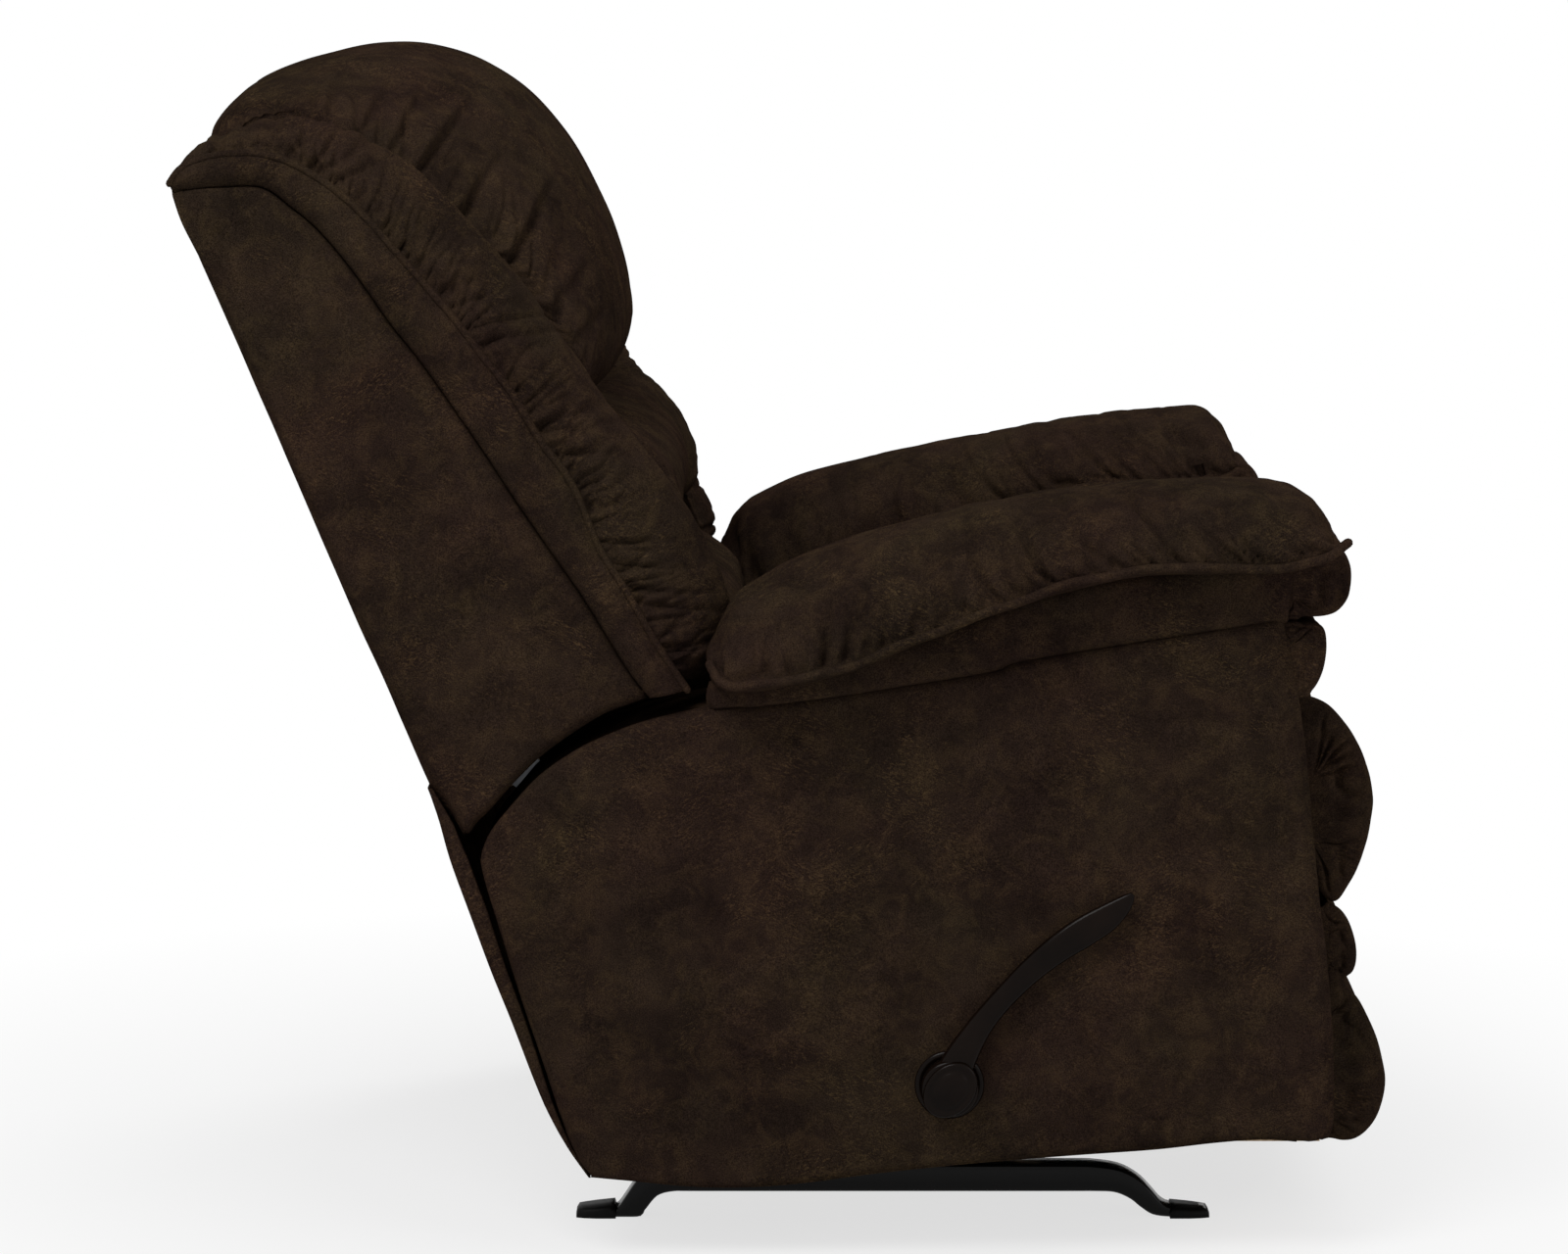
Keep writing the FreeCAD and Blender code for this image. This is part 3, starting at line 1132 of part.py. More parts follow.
def wing_section(side, station, root, flank, crest, hollow, inside):
    """Cross section of a wing, square to the back's rear face."""
    def place(point):
        x, z = on_back(station, point[1])
        return FreeCAD.Vector(x, side * point[0], z)

    return closed_wire(place, (WING_INNER, root), (
        (BACK_HALF - FIT_GAP, root), (flank, crest), (hollow, (WING_INNER, inside))))


def mixed(first, second, share):
    """Steps of an outline a share of the way from one outline to another."""
    if isinstance(first[0], tuple):
        return tuple(mixed(a, b, share) for a, b in zip(first, second))
    return between(first, second, share)


def placed_on_back(step):
    """A step of a pillow's outline, from shares of the back's length and depth to millimetres."""
    if isinstance(step[0], tuple):
        return tuple(placed_on_back(point) for point in step)
    return on_back(BACK_LENGTH * step[0], BACK_DEPTH * step[1])


def pillow(half, middle_shares, side_shares):
    """A back pillow that is full in the middle and drawn in at its sides."""
    wires = []
    for place_share, side_share in PILLOW_STATION_SHARES:
        steps = [mixed(a, b, side_share) for a, b in zip(middle_shares, side_shares)]
        upper = on_post(BACK_LENGTH * steps[0][0])
        lower = on_post(BACK_LENGTH * steps[-1][0])
        front = [placed_on_back(step) for step in steps[1:-1]]
        wires.append(side_wire(half * place_share, upper, *front, lower))
    return Part.makeLoft(wires, True, True)


def on_post(along):
    """The point just in front of the posts of the back, at a place along them."""
    foot = -POST_DROP
    head = BACK_LENGTH - POST_REAR_GAP
    taper = (POST_FOOT_DEPTH - POST_HEAD_DEPTH) * (along - foot) / (head - foot)
    return on_back(along, BACK_BOARD + POST_REAR_GAP + POST_FOOT_DEPTH - taper + FIT_GAP)


def drawn_in(step, heart):
    """A step of a pillow's outline drawn in towards its heart, for its sides."""
    if isinstance(step[0], tuple):
        return tuple(drawn_in(point, heart) for point in step)
    return between(heart, step, PILLOW_EASE_SHARE)


def lumbar_pillow(half, shares):
    """Pillow behind the small of the back."""
    heart = between(shares[0], shares[-1], MIDDLE_SHARE)
    return pillow(half, shares, [drawn_in(step, heart) for step in shares])


def cross_board(low_x, low_z, high_z):
    """Wooden board between the inner arm panels."""
    half = INNER_HALF - FIT_GAP
    return across(half, *box_outline(low_x, low_z, low_x + BOARD_RAIL, high_z))


def stretcher():
    """Steel angle between the mechanism plates."""
    half = PLATE_INSIDE - FIT_GAP
    top = STRETCHER_BOTTOM + STRETCHER_HEIGHT
    inner = STRETCHER_X + STRETCHER_WALL
    return across(half, (STRETCHER_X, STRETCHER_BOTTOM), (inner, STRETCHER_BOTTOM), (inner, top - STRETCHER_WALL),
                  (STRETCHER_X + STRETCHER_WIDTH, top - STRETCHER_WALL), (STRETCHER_X + STRETCHER_WIDTH, top),
                  (STRETCHER_X, top))


def rear_flap():
    """Fabric that hangs from the back's lower edge to the bottom of the arms."""
    half = PANEL_OUTSIDE - FLAP_SIDE_GAP
    top = on_back(-FLAP_GAP, 0.0)
    low = shifted(ARM_REAR_BOTTOM, -FLAP_GAP - FLAP_THICK, 0)
    outer_top = shifted(top, -FLAP_THICK, 0)
    outer_low = shifted(low, -FLAP_THICK, 0)
    return across(half, low, (arc_point(low, top, -FLAP_BOW), top), outer_top,
                  (arc_point(outer_top, outer_low, FLAP_BOW), outer_low))


def build():
    """Makes every piece and writes its file."""
    os.makedirs("parts", exist_ok=True)
    for name, side in SIDES:
        save("base_rail_" + name, base_rail(side))
        save("rocker_cam_" + name, rocker_cam(side))
        save("mechanism_plate_" + name, mechanism_plate(side))
        save("arm_outer_panel_" + name, arm_outer_panel(side))
        save("arm_inner_panel_" + name, arm_inner_panel(side))
        save("arm_frame_" + name, arm_frame(side))
        save("arm_band_" + name, arm_band(side), arm_edge(side))
        save("arm_pad_" + name, arm_pad(side))
        save("arm_front_pad_" + name, arm_front_pad(side))
        save("seat_side_rail_" + name, seat_side_rail(side))
        save("back_side_panel_" + name, back_side_panel(side))
        save("back_wing_" + name, back_wing(side))
        save("swing_link_" + name, swing_link(side))
        save("reach_link_" + name, reach_link(side))
        save("guide_link_" + name, guide_link(side))
        save("board_link_" + name, board_link(side))
        save("footrest_bracket_" + name, footrest_bracket(side))
    save("base_cross_front", base_cross(1))
    save("base_cross_rear", base_cross(-1))
    save("base_feet", *base_feet())
    save("rocker_springs", *rocker_springs())
    save("front_rail", cross_board(FRONT_RAIL_X, FRONT_RAIL_BOTTOM, FRONT_RAIL_TOP))
    save("rear_rail", cross_board(REAR_RAIL_X, REAR_RAIL_BOTTOM, REAR_RAIL_TOP))
    save("stretcher", stretcher())
    save("mechanism_bolts", *mechanism_bolts())
    save("rear_flap", rear_flap())
    save("handle_escutcheon", handle_escutcheon())
    save("drive_tube", drive_tube())
    save("drive_links", *drive_links())
    save("handle_lever", handle_lever())
    save("handle_cap", handle_cap())
    save("back_frame", back_frame())
    save("back_outer_panel", back_outer_panel())
    save("recline_brackets", *recline_brackets())
    save("head_pillow", pillow(HEAD_HALF, HEAD_SHARES, HEAD_SIDE_SHARES))
    save("middle_lumbar_pillow", lumbar_pillow(MIDDLE_HALF, MIDDLE_SHARES))
    save("lower_lumbar_pillow", lumbar_pillow(LOWER_HALF, LOWER_SHARES))
    save("seat_front_rail", seat_cross_rail(SEAT_FRONT - SEAT_RAIL_WIDTH))
    save("seat_rear_rail", seat_cross_rail(SEAT_REAR))
    save("seat_springs", *seat_springs())
    save("seat_cushion", seat_cushion())
    save("footrest_board", footrest_board())
    save("footrest_pad", footrest_pad())


build()
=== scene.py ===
import bpy
import json
import math
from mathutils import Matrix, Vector, noise


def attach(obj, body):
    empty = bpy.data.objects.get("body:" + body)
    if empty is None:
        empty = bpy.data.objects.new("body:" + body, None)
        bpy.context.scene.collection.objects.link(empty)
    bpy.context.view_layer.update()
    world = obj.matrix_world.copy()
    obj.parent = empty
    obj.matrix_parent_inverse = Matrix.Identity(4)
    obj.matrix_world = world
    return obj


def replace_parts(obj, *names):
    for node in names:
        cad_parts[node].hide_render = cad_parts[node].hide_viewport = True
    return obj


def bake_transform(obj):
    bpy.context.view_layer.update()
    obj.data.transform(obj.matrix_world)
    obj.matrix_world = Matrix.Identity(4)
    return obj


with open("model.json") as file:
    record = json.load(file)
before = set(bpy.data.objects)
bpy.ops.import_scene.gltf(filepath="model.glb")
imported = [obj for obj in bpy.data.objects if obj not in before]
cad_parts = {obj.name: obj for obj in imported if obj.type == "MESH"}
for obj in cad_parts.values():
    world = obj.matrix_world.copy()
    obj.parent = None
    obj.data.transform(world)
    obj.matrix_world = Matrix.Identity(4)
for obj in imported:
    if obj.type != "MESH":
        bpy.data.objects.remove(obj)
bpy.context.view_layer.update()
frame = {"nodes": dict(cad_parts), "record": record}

# Rocker recliner. Outlines are in millimetres in side view, X the way the sitter faces and Z up,
# and MM turns them into the frame's metres.
MM = 0.001
SIDES = (("right", -1), ("left", 1))

# Lines of the back run along its rear face from the lower corner, and across it to the front
BACK_CORNER = (-320.0, 414.0)
LEAN_SIN, LEAN_COS = math.sin(math.radians(22.84)), math.cos(math.radians(22.84))

ARM_INNER = 290.5
ARM_OUTER = 440.0
PAD_MIDDLE = 386.5
PAD_HALF = 108.5
BACK_OUTER = 432.0
WING_INNER = 303.0
WING_CREST_Y = 386.0

FAN_RIM = 0.85   # share of an end face that its pleats reach
SWELL_STEPS = 20   # frames of the cloth simulation


# ---- points and curves

def on_back(along, over):
    """Side view point from its place along and across the back."""
    return (BACK_CORNER[0] - along * LEAN_SIN + over * LEAN_COS,
            BACK_CORNER[1] + along * LEAN_COS + over * LEAN_SIN)


def back_place(p):
    """A point's place along and across the back."""
    x, z = p[0] - BACK_CORNER[0], p[2] - BACK_CORNER[1]
    return (z * LEAN_COS - x * LEAN_SIN, x * LEAN_COS + z * LEAN_SIN)


def back_points(table):
    return [on_back(a, o) for a, o in table]


def at(point, y):
    """A side view point moved out to y."""
    return (point[0], y, point[1])


def clamp(value):
    return max(0.0, min(1.0, value))


def bell(value):
    return math.exp(-value * value)


def dome(share):
    """1 in the middle of a width and 0 at both its edges."""
    return 1 - (2 * share - 1) ** 4


def middle_of(points):
    return sum(points, Vector()) / len(points)


def hermite(start, end, leaving, arriving, t):
    """A place on a smooth way from start to end, with its slopes there."""
    return (start * (2 * t ** 3 - 3 * t ** 2 + 1) + leaving * (t ** 3 - 2 * t ** 2 + t)
            + end * (3 * t ** 2 - 2 * t ** 3) + arriving * (t ** 3 - t ** 2))


def around(points, i, closed=False):
    """The point before a place, those of its span and the one after; an open line repeats its ends."""
    total = len(points)
    return [points[k % total if closed else max(0, min(k, total - 1))] for k in range(i - 1, i + 3)]


def curve(points, count, closed=False, sharp=()):
    """Evenly spaced points on a smooth curve through a few; it may turn sharply at some."""
    points = [Vector(p) for p in points]
    total = len(points)
    dense = []
    for i in range(total if closed else total - 1):
        before, here, there, after = around(points, i, closed)
        leaving = there - here if i in sharp else (there - before) / 2
        arriving = there - here if (i + 1) % total in sharp else (after - here) / 2
        dense += [hermite(here, there, leaving, arriving, k / 12) for k in range(12)]
    dense.append(points[0] if closed else points[-1])
    lengths = [0.0]
    for a, b in zip(dense, dense[1:]):
        lengths.append(lengths[-1] + (b - a).length)
    steps = count if closed else count - 1
    result = []
    span = 0
    for k in range(count):
        target = lengths[-1] * k / steps
        while span < len(dense) - 2 and lengths[span + 1] < target:
            span += 1
        width = lengths[span + 1] - lengths[span]
        share = (target - lengths[span]) / width if width > 0 else 0.0
        result.append(dense[span].lerp(dense[span + 1], share))
    return result


def through(rows, place, column=1):
    """A value at a place from a table of rows, straight between them."""
    for low, high in zip(rows, rows[1:]):
        if place <= high[0]:
            t = clamp((place - low[0]) / (high[0] - low[0]))
            return low[column] + (high[column] - low[column]) * t
    return rows[-1][column]


def smooth_table(rows, count):
    """A short table of stations turned into many, on smooth curves through each column."""
    dense = []
    for i in range(count):
        place = (len(rows) - 1) * i / (count - 1)
        k = min(int(place), len(rows) - 2)
        dense.append([hermite(b, c, (c - a) / 2, (d - b) / 2, place - k)
                      for a, b, c, d in zip(*around(rows, k))])
    return dense


def span_of(line):
    return sum((Vector(b) - Vector(a)).length for a, b in zip(line, line[1:]))


def doubled(line, closed):
    """A line of points with one more between each two, on a smooth curve."""
    total = len(line)
    result = []
    for i in range(total if closed else total - 1):
        a, b = line[i], line[(i + 1) % total]
        before = line[i - 1] if closed or i > 0 else a * 2 - b
        after = line[(i + 2) % total] if closed or i + 2 < total else b * 2 - a
        result += [a, (a + b) * 0.5625 - (before + after) * 0.0625]
    return result if closed else result + [line[-1]]


def finer(rings):
    """Closed rings with twice the points each way."""
    rings = [doubled(ring, True) for ring in rings]
    columns = [doubled([ring[k] for ring in rings], False) for k in range(len(rings[0]))]
    return [[column[r] for column in columns] for r in range(len(columns[0]))]


# ---- meshes

def placed(name, data):
    """A new object in the scene."""
    thing = bpy.data.objects.new(name, data)
    bpy.context.collection.objects.link(thing)
    return thing


def new_piece(name, vertices, faces, material, body):
    """A mesh object in metres from points in millimetres, riding on its body if it has one."""
    mesh = bpy.data.meshes.new(name)
    mesh.from_pydata([Vector(v) * MM for v in vertices], [], faces)
    mesh.validate()
    mesh.polygons.foreach_set("use_smooth", [True] * len(mesh.polygons))
    piece = placed(name, mesh)
    mesh.materials.append(material)
    if body:
        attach(piece, body)
    return piece


def ring_faces(rows, width, closed=True):
    """Quads between rings of points."""
    faces = []
    for r in range(rows - 1):
        for k in range(width if closed else width - 1):
            a = r * width + k
            b = r * width + (k + 1) % width
            faces.append((a, b, b + width, a + width))
    return faces


def normals(rings, closed=True):
    """Direction square to a grid at each of its points."""
    rows, width = len(rings), len(rings[0])
    result = []
    for r, ring in enumerate(rings):
        above, below = rings[min(r + 1, rows - 1)], rings[max(r - 1, 0)]
        row = []
        for k in range(width):
            after = ring[(k + 1) % width] if closed else ring[min(k + 1, width - 1)]
            before = ring[k - 1] if closed else ring[max(k - 1, 0)]
            n = (after - before).cross(above[k] - below[k])
            row.append(n.normalized() if n.length > 1e-9 else Vector((0, 0, 0)))
        result.append(row)
    return result


def turning(rings, ways):
    """1 where the normals of a stack of closed rings point out, otherwise -1."""
    points = [p for ring in rings for p in ring]
    middle = middle_of(points)
    total = sum(n.dot(p - middle) for n, p in zip([n for row in ways for n in row], points))
    return 1 if total > 0 else -1


def loft(name, rings, material, body):
    """A closed skin over rings, with its ends gathered to their middles."""
    rings = [[Vector(p) for p in ring] for ring in rings]
    width = len(rings[0])
    vertices = [p for ring in rings for p in ring]
    faces = ring_faces(len(rings), width)
    for ring, start, turn in ((rings[0], 0, 1), (rings[-1], (len(rings) - 1) * width, -1)):
        vertices.append(middle_of(ring))
        tip = len(vertices) - 1
        for k in range(width):
            a, b = start + k, start + (k + 1) % width
            faces.append((tip, b, a) if turn > 0 else (tip, a, b))
    if turning(rings, normals(rings)) < 0:
        faces = [f[::-1] for f in faces]
    return new_piece(name, vertices, faces, material, body)


def with_ends(rings, steps, shape):
    """Adds rings at both ends; shape takes an end ring and the next one and gives a function of the step."""
    result = [[Vector(p) for p in ring] for ring in rings]
    for end, inner in ((0, 1), (-1, -2)):
        extra = shape([Vector(p) for p in rings[end]], [Vector(p) for p in rings[inner]])
        for k in range(1, steps + 1):
            result.insert(0 if end == 0 else len(result), extra(k))
    return result


def close_ends(rings, bulge, steps=4):
    """Adds rounded ends to a stack of rings."""
    def shape(ring, inner):
        middle = middle_of(ring)
        out = (middle - middle_of(inner)).normalized() * bulge
        angle = math.pi / 2 / (steps + 0.4)
        return lambda k: [middle + (p - middle) * math.cos(angle * k) + out * math.sin(angle * k)
                          for p in ring]

    return with_ends(rings, steps, shape)


def capped(rings, heart, bulge, steps, power=4.0):
    """Adds soft end faces to rings stacked along Y, drawn in to a heart that depends on the point."""
    def shape(ring, inner):
        out = math.copysign(bulge, ring[0][1] - inner[0][1])

        def extra(k):
            w = 1 - 0.97 * (k / steps) ** 1.35
            puff = Vector((0, out * math.sqrt(1 - w ** power), 0))
            return [(p - h) * w + h + puff for p, h in ((p, Vector(at(heart(p), p[1]))) for p in ring)]

        return extra

    return with_ends(rings, steps, shape)


def layers(rows, columns, place):
    """Grids of the outer and inner points that place gives for a row, a column and their shares."""
    grid = [[place(r, c, c / (columns - 1), r / (rows - 1)) for c in range(columns)] for r in range(rows)]
    return [[[Vector(pair[k]) for pair in row] for row in grid] for k in (0, 1)]


def sheet_piece(name, body, outer, inner):
    """A closed piece of two grids, one behind the other, joined round their edges."""
    lines, points = len(outer), len(outer[0])
    count = lines * points
    faces = ring_faces(lines, points, closed=False)
    faces += [tuple(i + count for i in f[::-1]) for f in faces]
    border = list(range(points)) + [r * points + points - 1 for r in range(1, lines)]
    border += [(lines - 1) * points + c for c in range(points - 2, -1, -1)]
    border += [r * points for r in range(lines - 2, 0, -1)]
    for a, b in zip(border, border[1:] + border[:1]):
        faces.append((a + count, b + count, b, a))
    out = sum(n.dot(p - q) for ways, row, back in zip(normals(outer, False), outer, inner)
              for n, p, q in zip(ways, row, back))
    if out < 0:
        faces = [f[::-1] for f in faces]
    vertices = [p for row in outer + inner for p in row]
    return new_piece(name, vertices, faces, CLOTH, body)


def soft(piece, node):
    """Hides the node that a padded piece stands for."""
    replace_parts(piece, node)


def inflated(rings, held, most):
    """Closed rings that start slimmer and are swollen as sewn cloth; held says how firmly points stay."""
    rings = [[Vector(p) for p in ring] for ring in rings]
    rows, width = len(rings), len(rings[0])
    ways = normals(rings)
    turn = turning(rings, ways)
    firm = [[clamp(held(p)) for p in ring] for ring in rings]
    firm[0] = firm[-1] = [1.0] * width
    slim = [p - ways[r][k] * (turn * most * (1 - firm[r][k])) for r, ring in enumerate(rings)
            for k, p in enumerate(ring)]
    faces = ring_faces(rows, width)
    mesh = bpy.data.meshes.new("blank")
    mesh.from_pydata([p * MM for p in slim], [], faces if turn > 0 else [f[::-1] for f in faces])
    blank = placed("blank", mesh)
    sewn = blank.vertex_groups.new(name="sewn")
    sewn.add([r * width + k for r in range(rows) for k in range(width) if firm[r][k] > 0.98], 1.0, "REPLACE")
    settings = blank.modifiers.new("cloth", "CLOTH").settings
    settings.vertex_group_mass = "sewn"
    settings.quality = 5
    settings.use_pressure = True
    settings.uniform_pressure_force = 4.0
    settings.effector_weights.gravity = 0.0
    for step in range(1, SWELL_STEPS + 1):
        bpy.context.scene.frame_set(step)
    swollen = blank.evaluated_get(bpy.context.evaluated_depsgraph_get()).data.vertices
    moved = []
    for vertex, p in zip(swollen, slim):
        move = vertex.co / MM - p
        moved.append(p + move * min(1.0, most / max(move.length, 1e-6)))
    bpy.data.objects.remove(blank)
    bpy.context.scene.frame_set(1)
    return [moved[r * width:(r + 1) * width] for r in range(rows)]


def stuffed(name, rings, body, node, detail, held, most, caps=0, rounder=False):
    """A stuffed piece: swollen by the simulation, made finer, then puckered along its normals."""
    rings = finer(inflated(rings, held, most))
    if rounder:
        rings = [doubled(ring, True) for ring in rings]
    ways = normals(rings)
    turn = turning(rings, ways)
    last = len(rings) - 1
    shaped = []
    for r, ring in enumerate(rings):
        edge = min(r, last - r) / (2 * caps) if caps else 2.0
        shaped.append([p + ways[r][k] * (turn * detail(r / last, k / len(ring), p, edge))
                       for k, p in enumerate(ring)])
    soft(loft(name, shaped, CLOTH, body), node)


# ---- gathers, seams and wrinkles

def valleys(place, sharpness):
    """Crisp irregular valleys with round tops between, from 0 to 1."""
    return (1 - min(1.0, abs(noise.noise(Vector(place))) * sharpness)) ** 1.4


def puckers(along, away, spacing, reach, depth, seed, sharpness=3.0):
    """How far gathers draw the cloth in, from a place along a seam and a distance from it."""
    if away >= reach:
        return 0.0
    along += 0.5 * spacing * noise.noise(Vector((along / (2 * spacing), away / (2.5 * spacing), seed + 3.1)))
    large = valleys((along / spacing, away / (5.5 * spacing), seed), sharpness)
    small = valleys((along / (0.5 * spacing), away / (2.5 * spacing), seed + 7.3), sharpness)
    return depth * (1 - away / reach) ** 0.7 * (large + 0.45 * clamp(1 - 2 * away / reach) * small)


def gathers(sets, along, away, seed):
    """What several sets of puckers draw in; a row is spacing, reach, depth, seed step, sharpness, slant."""
    return sum(puckers(along + slant * away, away, spacing, reach, depth, seed + step, sharpness)
               for spacing, reach, depth, step, sharpness, slant in sets)


def fan(v, edge, folds, depth, seed):
    """Pleats that run out from the heart of an end face and fade before its rim."""
    if edge >= FAN_RIM:
        return 0.0
    pleats = valleys((folds * v, 2.2 * edge, seed), 3.4)
    return depth * pleats * (1 - edge / FAN_RIM) ** 0.7 * clamp(edge * 3)


def crease_depth(creases, p):
    """Deep pleats on the sides of a back pillow, each a line along and across the back."""
    along, over = back_place(p)
    total = 0.0
    for (a, o), end, depth, width in creases:
        run = (end[0] - a, end[1] - o)
        length = math.hypot(*run)
        t = ((along - a) * run[0] + (over - o) * run[1]) / length
        off = ((along - a) * run[1] - (over - o) * run[0]) / length
        if -20 < t < length * 1.3 and abs(off) < 4 * width:
            taper = clamp((t + 20) / 20) * (1 - clamp(t / (length * 1.3))) ** 0.7
            total += depth * taper * (bell(off / width) - 0.5 * bell((off - 1.4 * width) / (1.6 * width)))
    return total


def wrinkle(point, size, seed):
    """Slow waves in stretched cloth, between -1 and 1."""
    place = Vector(point) / size
    return noise.noise(place + Vector((seed, 0, 0))) + 0.5 * noise.noise(place * 2.1 + Vector((0, seed, 0)))


def cord(name, points, radius, body):
    """A sewn welt along a line of points: a round tube with rounded ends."""
    line = [Vector(p) for p in points]
    turns = [(math.cos(math.pi * k / 5), math.sin(math.pi * k / 5)) for k in range(10)]
    rings = []
    for i, p in enumerate(line):
        forward = (line[min(i + 1, len(line) - 1)] - line[max(i - 1, 0)]).normalized()
        sideways = forward.cross(Vector((0, 1, 0)))
        if sideways.length < 1e-3:
            sideways = forward.cross(Vector((0, 0, 1)))
        sideways.normalize()
        outward = sideways.cross(forward)
        rings.append([p + (sideways * c + outward * s) * radius for c, s in turns])
    return loft(name, close_ends(rings, radius, 2), CLOTH, body)


# ---- materials

def put(socket, value):
    """Links another socket to a socket, or sets it to a number, a colour or a vector."""
    if isinstance(value, bpy.types.NodeSocket):
        socket.id_data.links.new(value, socket)
    elif isinstance(value, tuple) and len(socket.default_value) > len(value):
        socket.default_value = (*value, 1)
    else:
        socket.default_value = value


class Nodes:
    """Makes the nodes of one tree; each method gives the new node's output."""

    def __init__(self, owner):
        owner.use_nodes = True
        self.tree = owner.node_tree

    def new(self, kind, inputs, output, **settings):
        node = self.tree.nodes.new("ShaderNode" + kind)
        for name, value in settings.items():
            setattr(node, name, value)
        for name, value in inputs.items():
            put(node.inputs[name], value)
        return node.outputs[output]

    def vector(self):
        return self.new("TexCoord", {}, "Object")

    def mapping(self, vector, **inputs):
        return self.new("Mapping", {"Vector": vector, **inputs}, "Vector")

    def noise(self, vector, scale, detail=4.0, rough=0.55, distortion=0.0):
        return self.new("TexNoise", {"Vector": vector, "Scale": scale, "Detail": detail, "Roughness": rough,
                                     "Distortion": distortion}, "Fac")

    def map(self, value, low, high, to_low, to_high):
        return self.new("MapRange", {"Value": value, "From Min": low, "From Max": high, "To Min": to_low,
                                     "To Max": to_high}, "Result")

    def math(self, operation, first, second):
        return self.new("Math", {0: first, 1: second}, "Value", operation=operation)

    def mix(self, share, first, second, blend="MIX"):
        return self.new("Mix", {"Factor": share, "A": first, "B": second}, "Result", data_type="RGBA",
                        blend_type=blend)

    def bump(self, height, distance, strength, **normal):
        return self.new("Bump", {"Height": height, "Distance": distance, "Strength": strength, **normal},
                        "Normal")

    def ramp(self, value, *stops):
        """Colours between stops of a place and a colour each."""
        colour = self.new("ValToRGB", {"Fac": value}, "Color")
        elements = colour.node.color_ramp.elements
        for element, (place, tone) in ((elements[0], stops[0]), (elements[1], stops[-1])):
            element.position = place
            element.color = (*tone, 1)
        for place, tone in stops[1:-1]:
            elements.new(place).color = (*tone, 1)
        return colour


def new_material(name, paint):
    """A material whose shader gets the inputs that paint returns for its nodes."""
    material = bpy.data.materials.new(name)
    nodes = Nodes(material)
    for socket, value in paint(nodes).items():
        put(nodes.tree.nodes["Principled BSDF"].inputs[socket], value)
    return material


def strokes_on(n, vector, turn, shift):
    """Patches of short fine strokes that all run one way."""
    turned = n.mapping(vector, Location=(shift, 0.0, shift), Rotation=(0.0, turn, 0.0))
    stretched = n.mapping(turned, Scale=(190.0, 190.0, 560.0))
    lines = n.noise(stretched, 1.0, 2.0, 0.6, 0.9)
    patch = n.map(n.noise(turned, 15.0, 4.0, 0.6, 0.5), 0.46, 0.60, 0.0, 1.0)
    return n.math("MULTIPLY", n.map(lines, 0.52, 0.66, 0.0, 1.0), patch)


def upholstery(n):
    """Dark brown suede-like cloth: mottled, with rubbed tan patches of short level strokes."""
    vector = n.vector()
    clouds = n.noise(vector, 13.0, 8.0, 0.68, 0.4)
    base = n.ramp(clouds, (0.32, (0.0098, 0.0062, 0.0042)), (0.50, (0.0158, 0.0098, 0.0062)),
                  (0.68, (0.0235, 0.0146, 0.0086)))
    spots = n.noise(vector, 42.0, 7.0, 0.72, 0.6)
    base = n.mix(n.map(spots, 0.46, 0.68, 0.0, 0.60), base, (0.0350, 0.0215, 0.0100))
    # short level strokes where the nap is rubbed
    rubbed = n.map(n.noise(vector, 8.0, 5.0, 0.65, 0.6), 0.42, 0.62, 0.1, 1.0)
    strokes = n.math("MAXIMUM", strokes_on(n, vector, 0.55, 0.0), strokes_on(n, vector, -0.35, 3.7))
    strokes = n.math("MULTIPLY", strokes, rubbed)
    base = n.mix(n.math("MULTIPLY", strokes, 0.60), base, (0.0640, 0.0380, 0.0165))
    hue = n.ramp(n.noise(vector, 6.0, 3.0, 0.6, 0.3), (0.36, (1.14, 1.08, 1.30)),
                 (0.64, (1.04, 1.12, 1.22)))
    base = n.mix(1.0, base, hue, "MULTIPLY")
    grain = n.noise(vector, 900.0, 3.0, 0.75, 0.2)
    shade = n.map(grain, 0.30, 0.70, 0.30, 2.0)
    grey = n.new("CombineColor", {0: shade, 1: shade, 2: shade}, "Color")
    normal = n.bump(n.noise(vector, 38.0, 3.0, 0.5, 0.4), 0.004, 0.2)
    normal = n.bump(strokes, 0.0006, 0.5, Normal=normal)
    return {"Base Color": n.mix(1.0, base, grey, "MULTIPLY"),
            "Roughness": n.map(clouds, 0.3, 0.7, 0.92, 0.80),
            "Specular IOR Level": 0.0, "Sheen Weight": 0.004, "Sheen Roughness": 0.5,
            "Sheen Tint": (0.60, 0.38, 0.22),
            "Normal": n.bump(grain, 0.0007, 0.6, Normal=normal)}


def plastic(n, dark, light, roughness, grain_scale):
    """Moulded plastic with a faint grain and uneven gloss."""
    vector = n.vector()
    clouds = n.noise(vector, 24.0, 4.0)
    return {"Base Color": n.ramp(clouds, (0.3, dark), (0.7, light)),
            "Roughness": n.map(clouds, 0.3, 0.7, roughness * 0.85, roughness * 1.2),
            "Specular IOR Level": 0.06,
            "Normal": n.bump(n.noise(vector, grain_scale, 2.0), 0.0004, 0.12)}


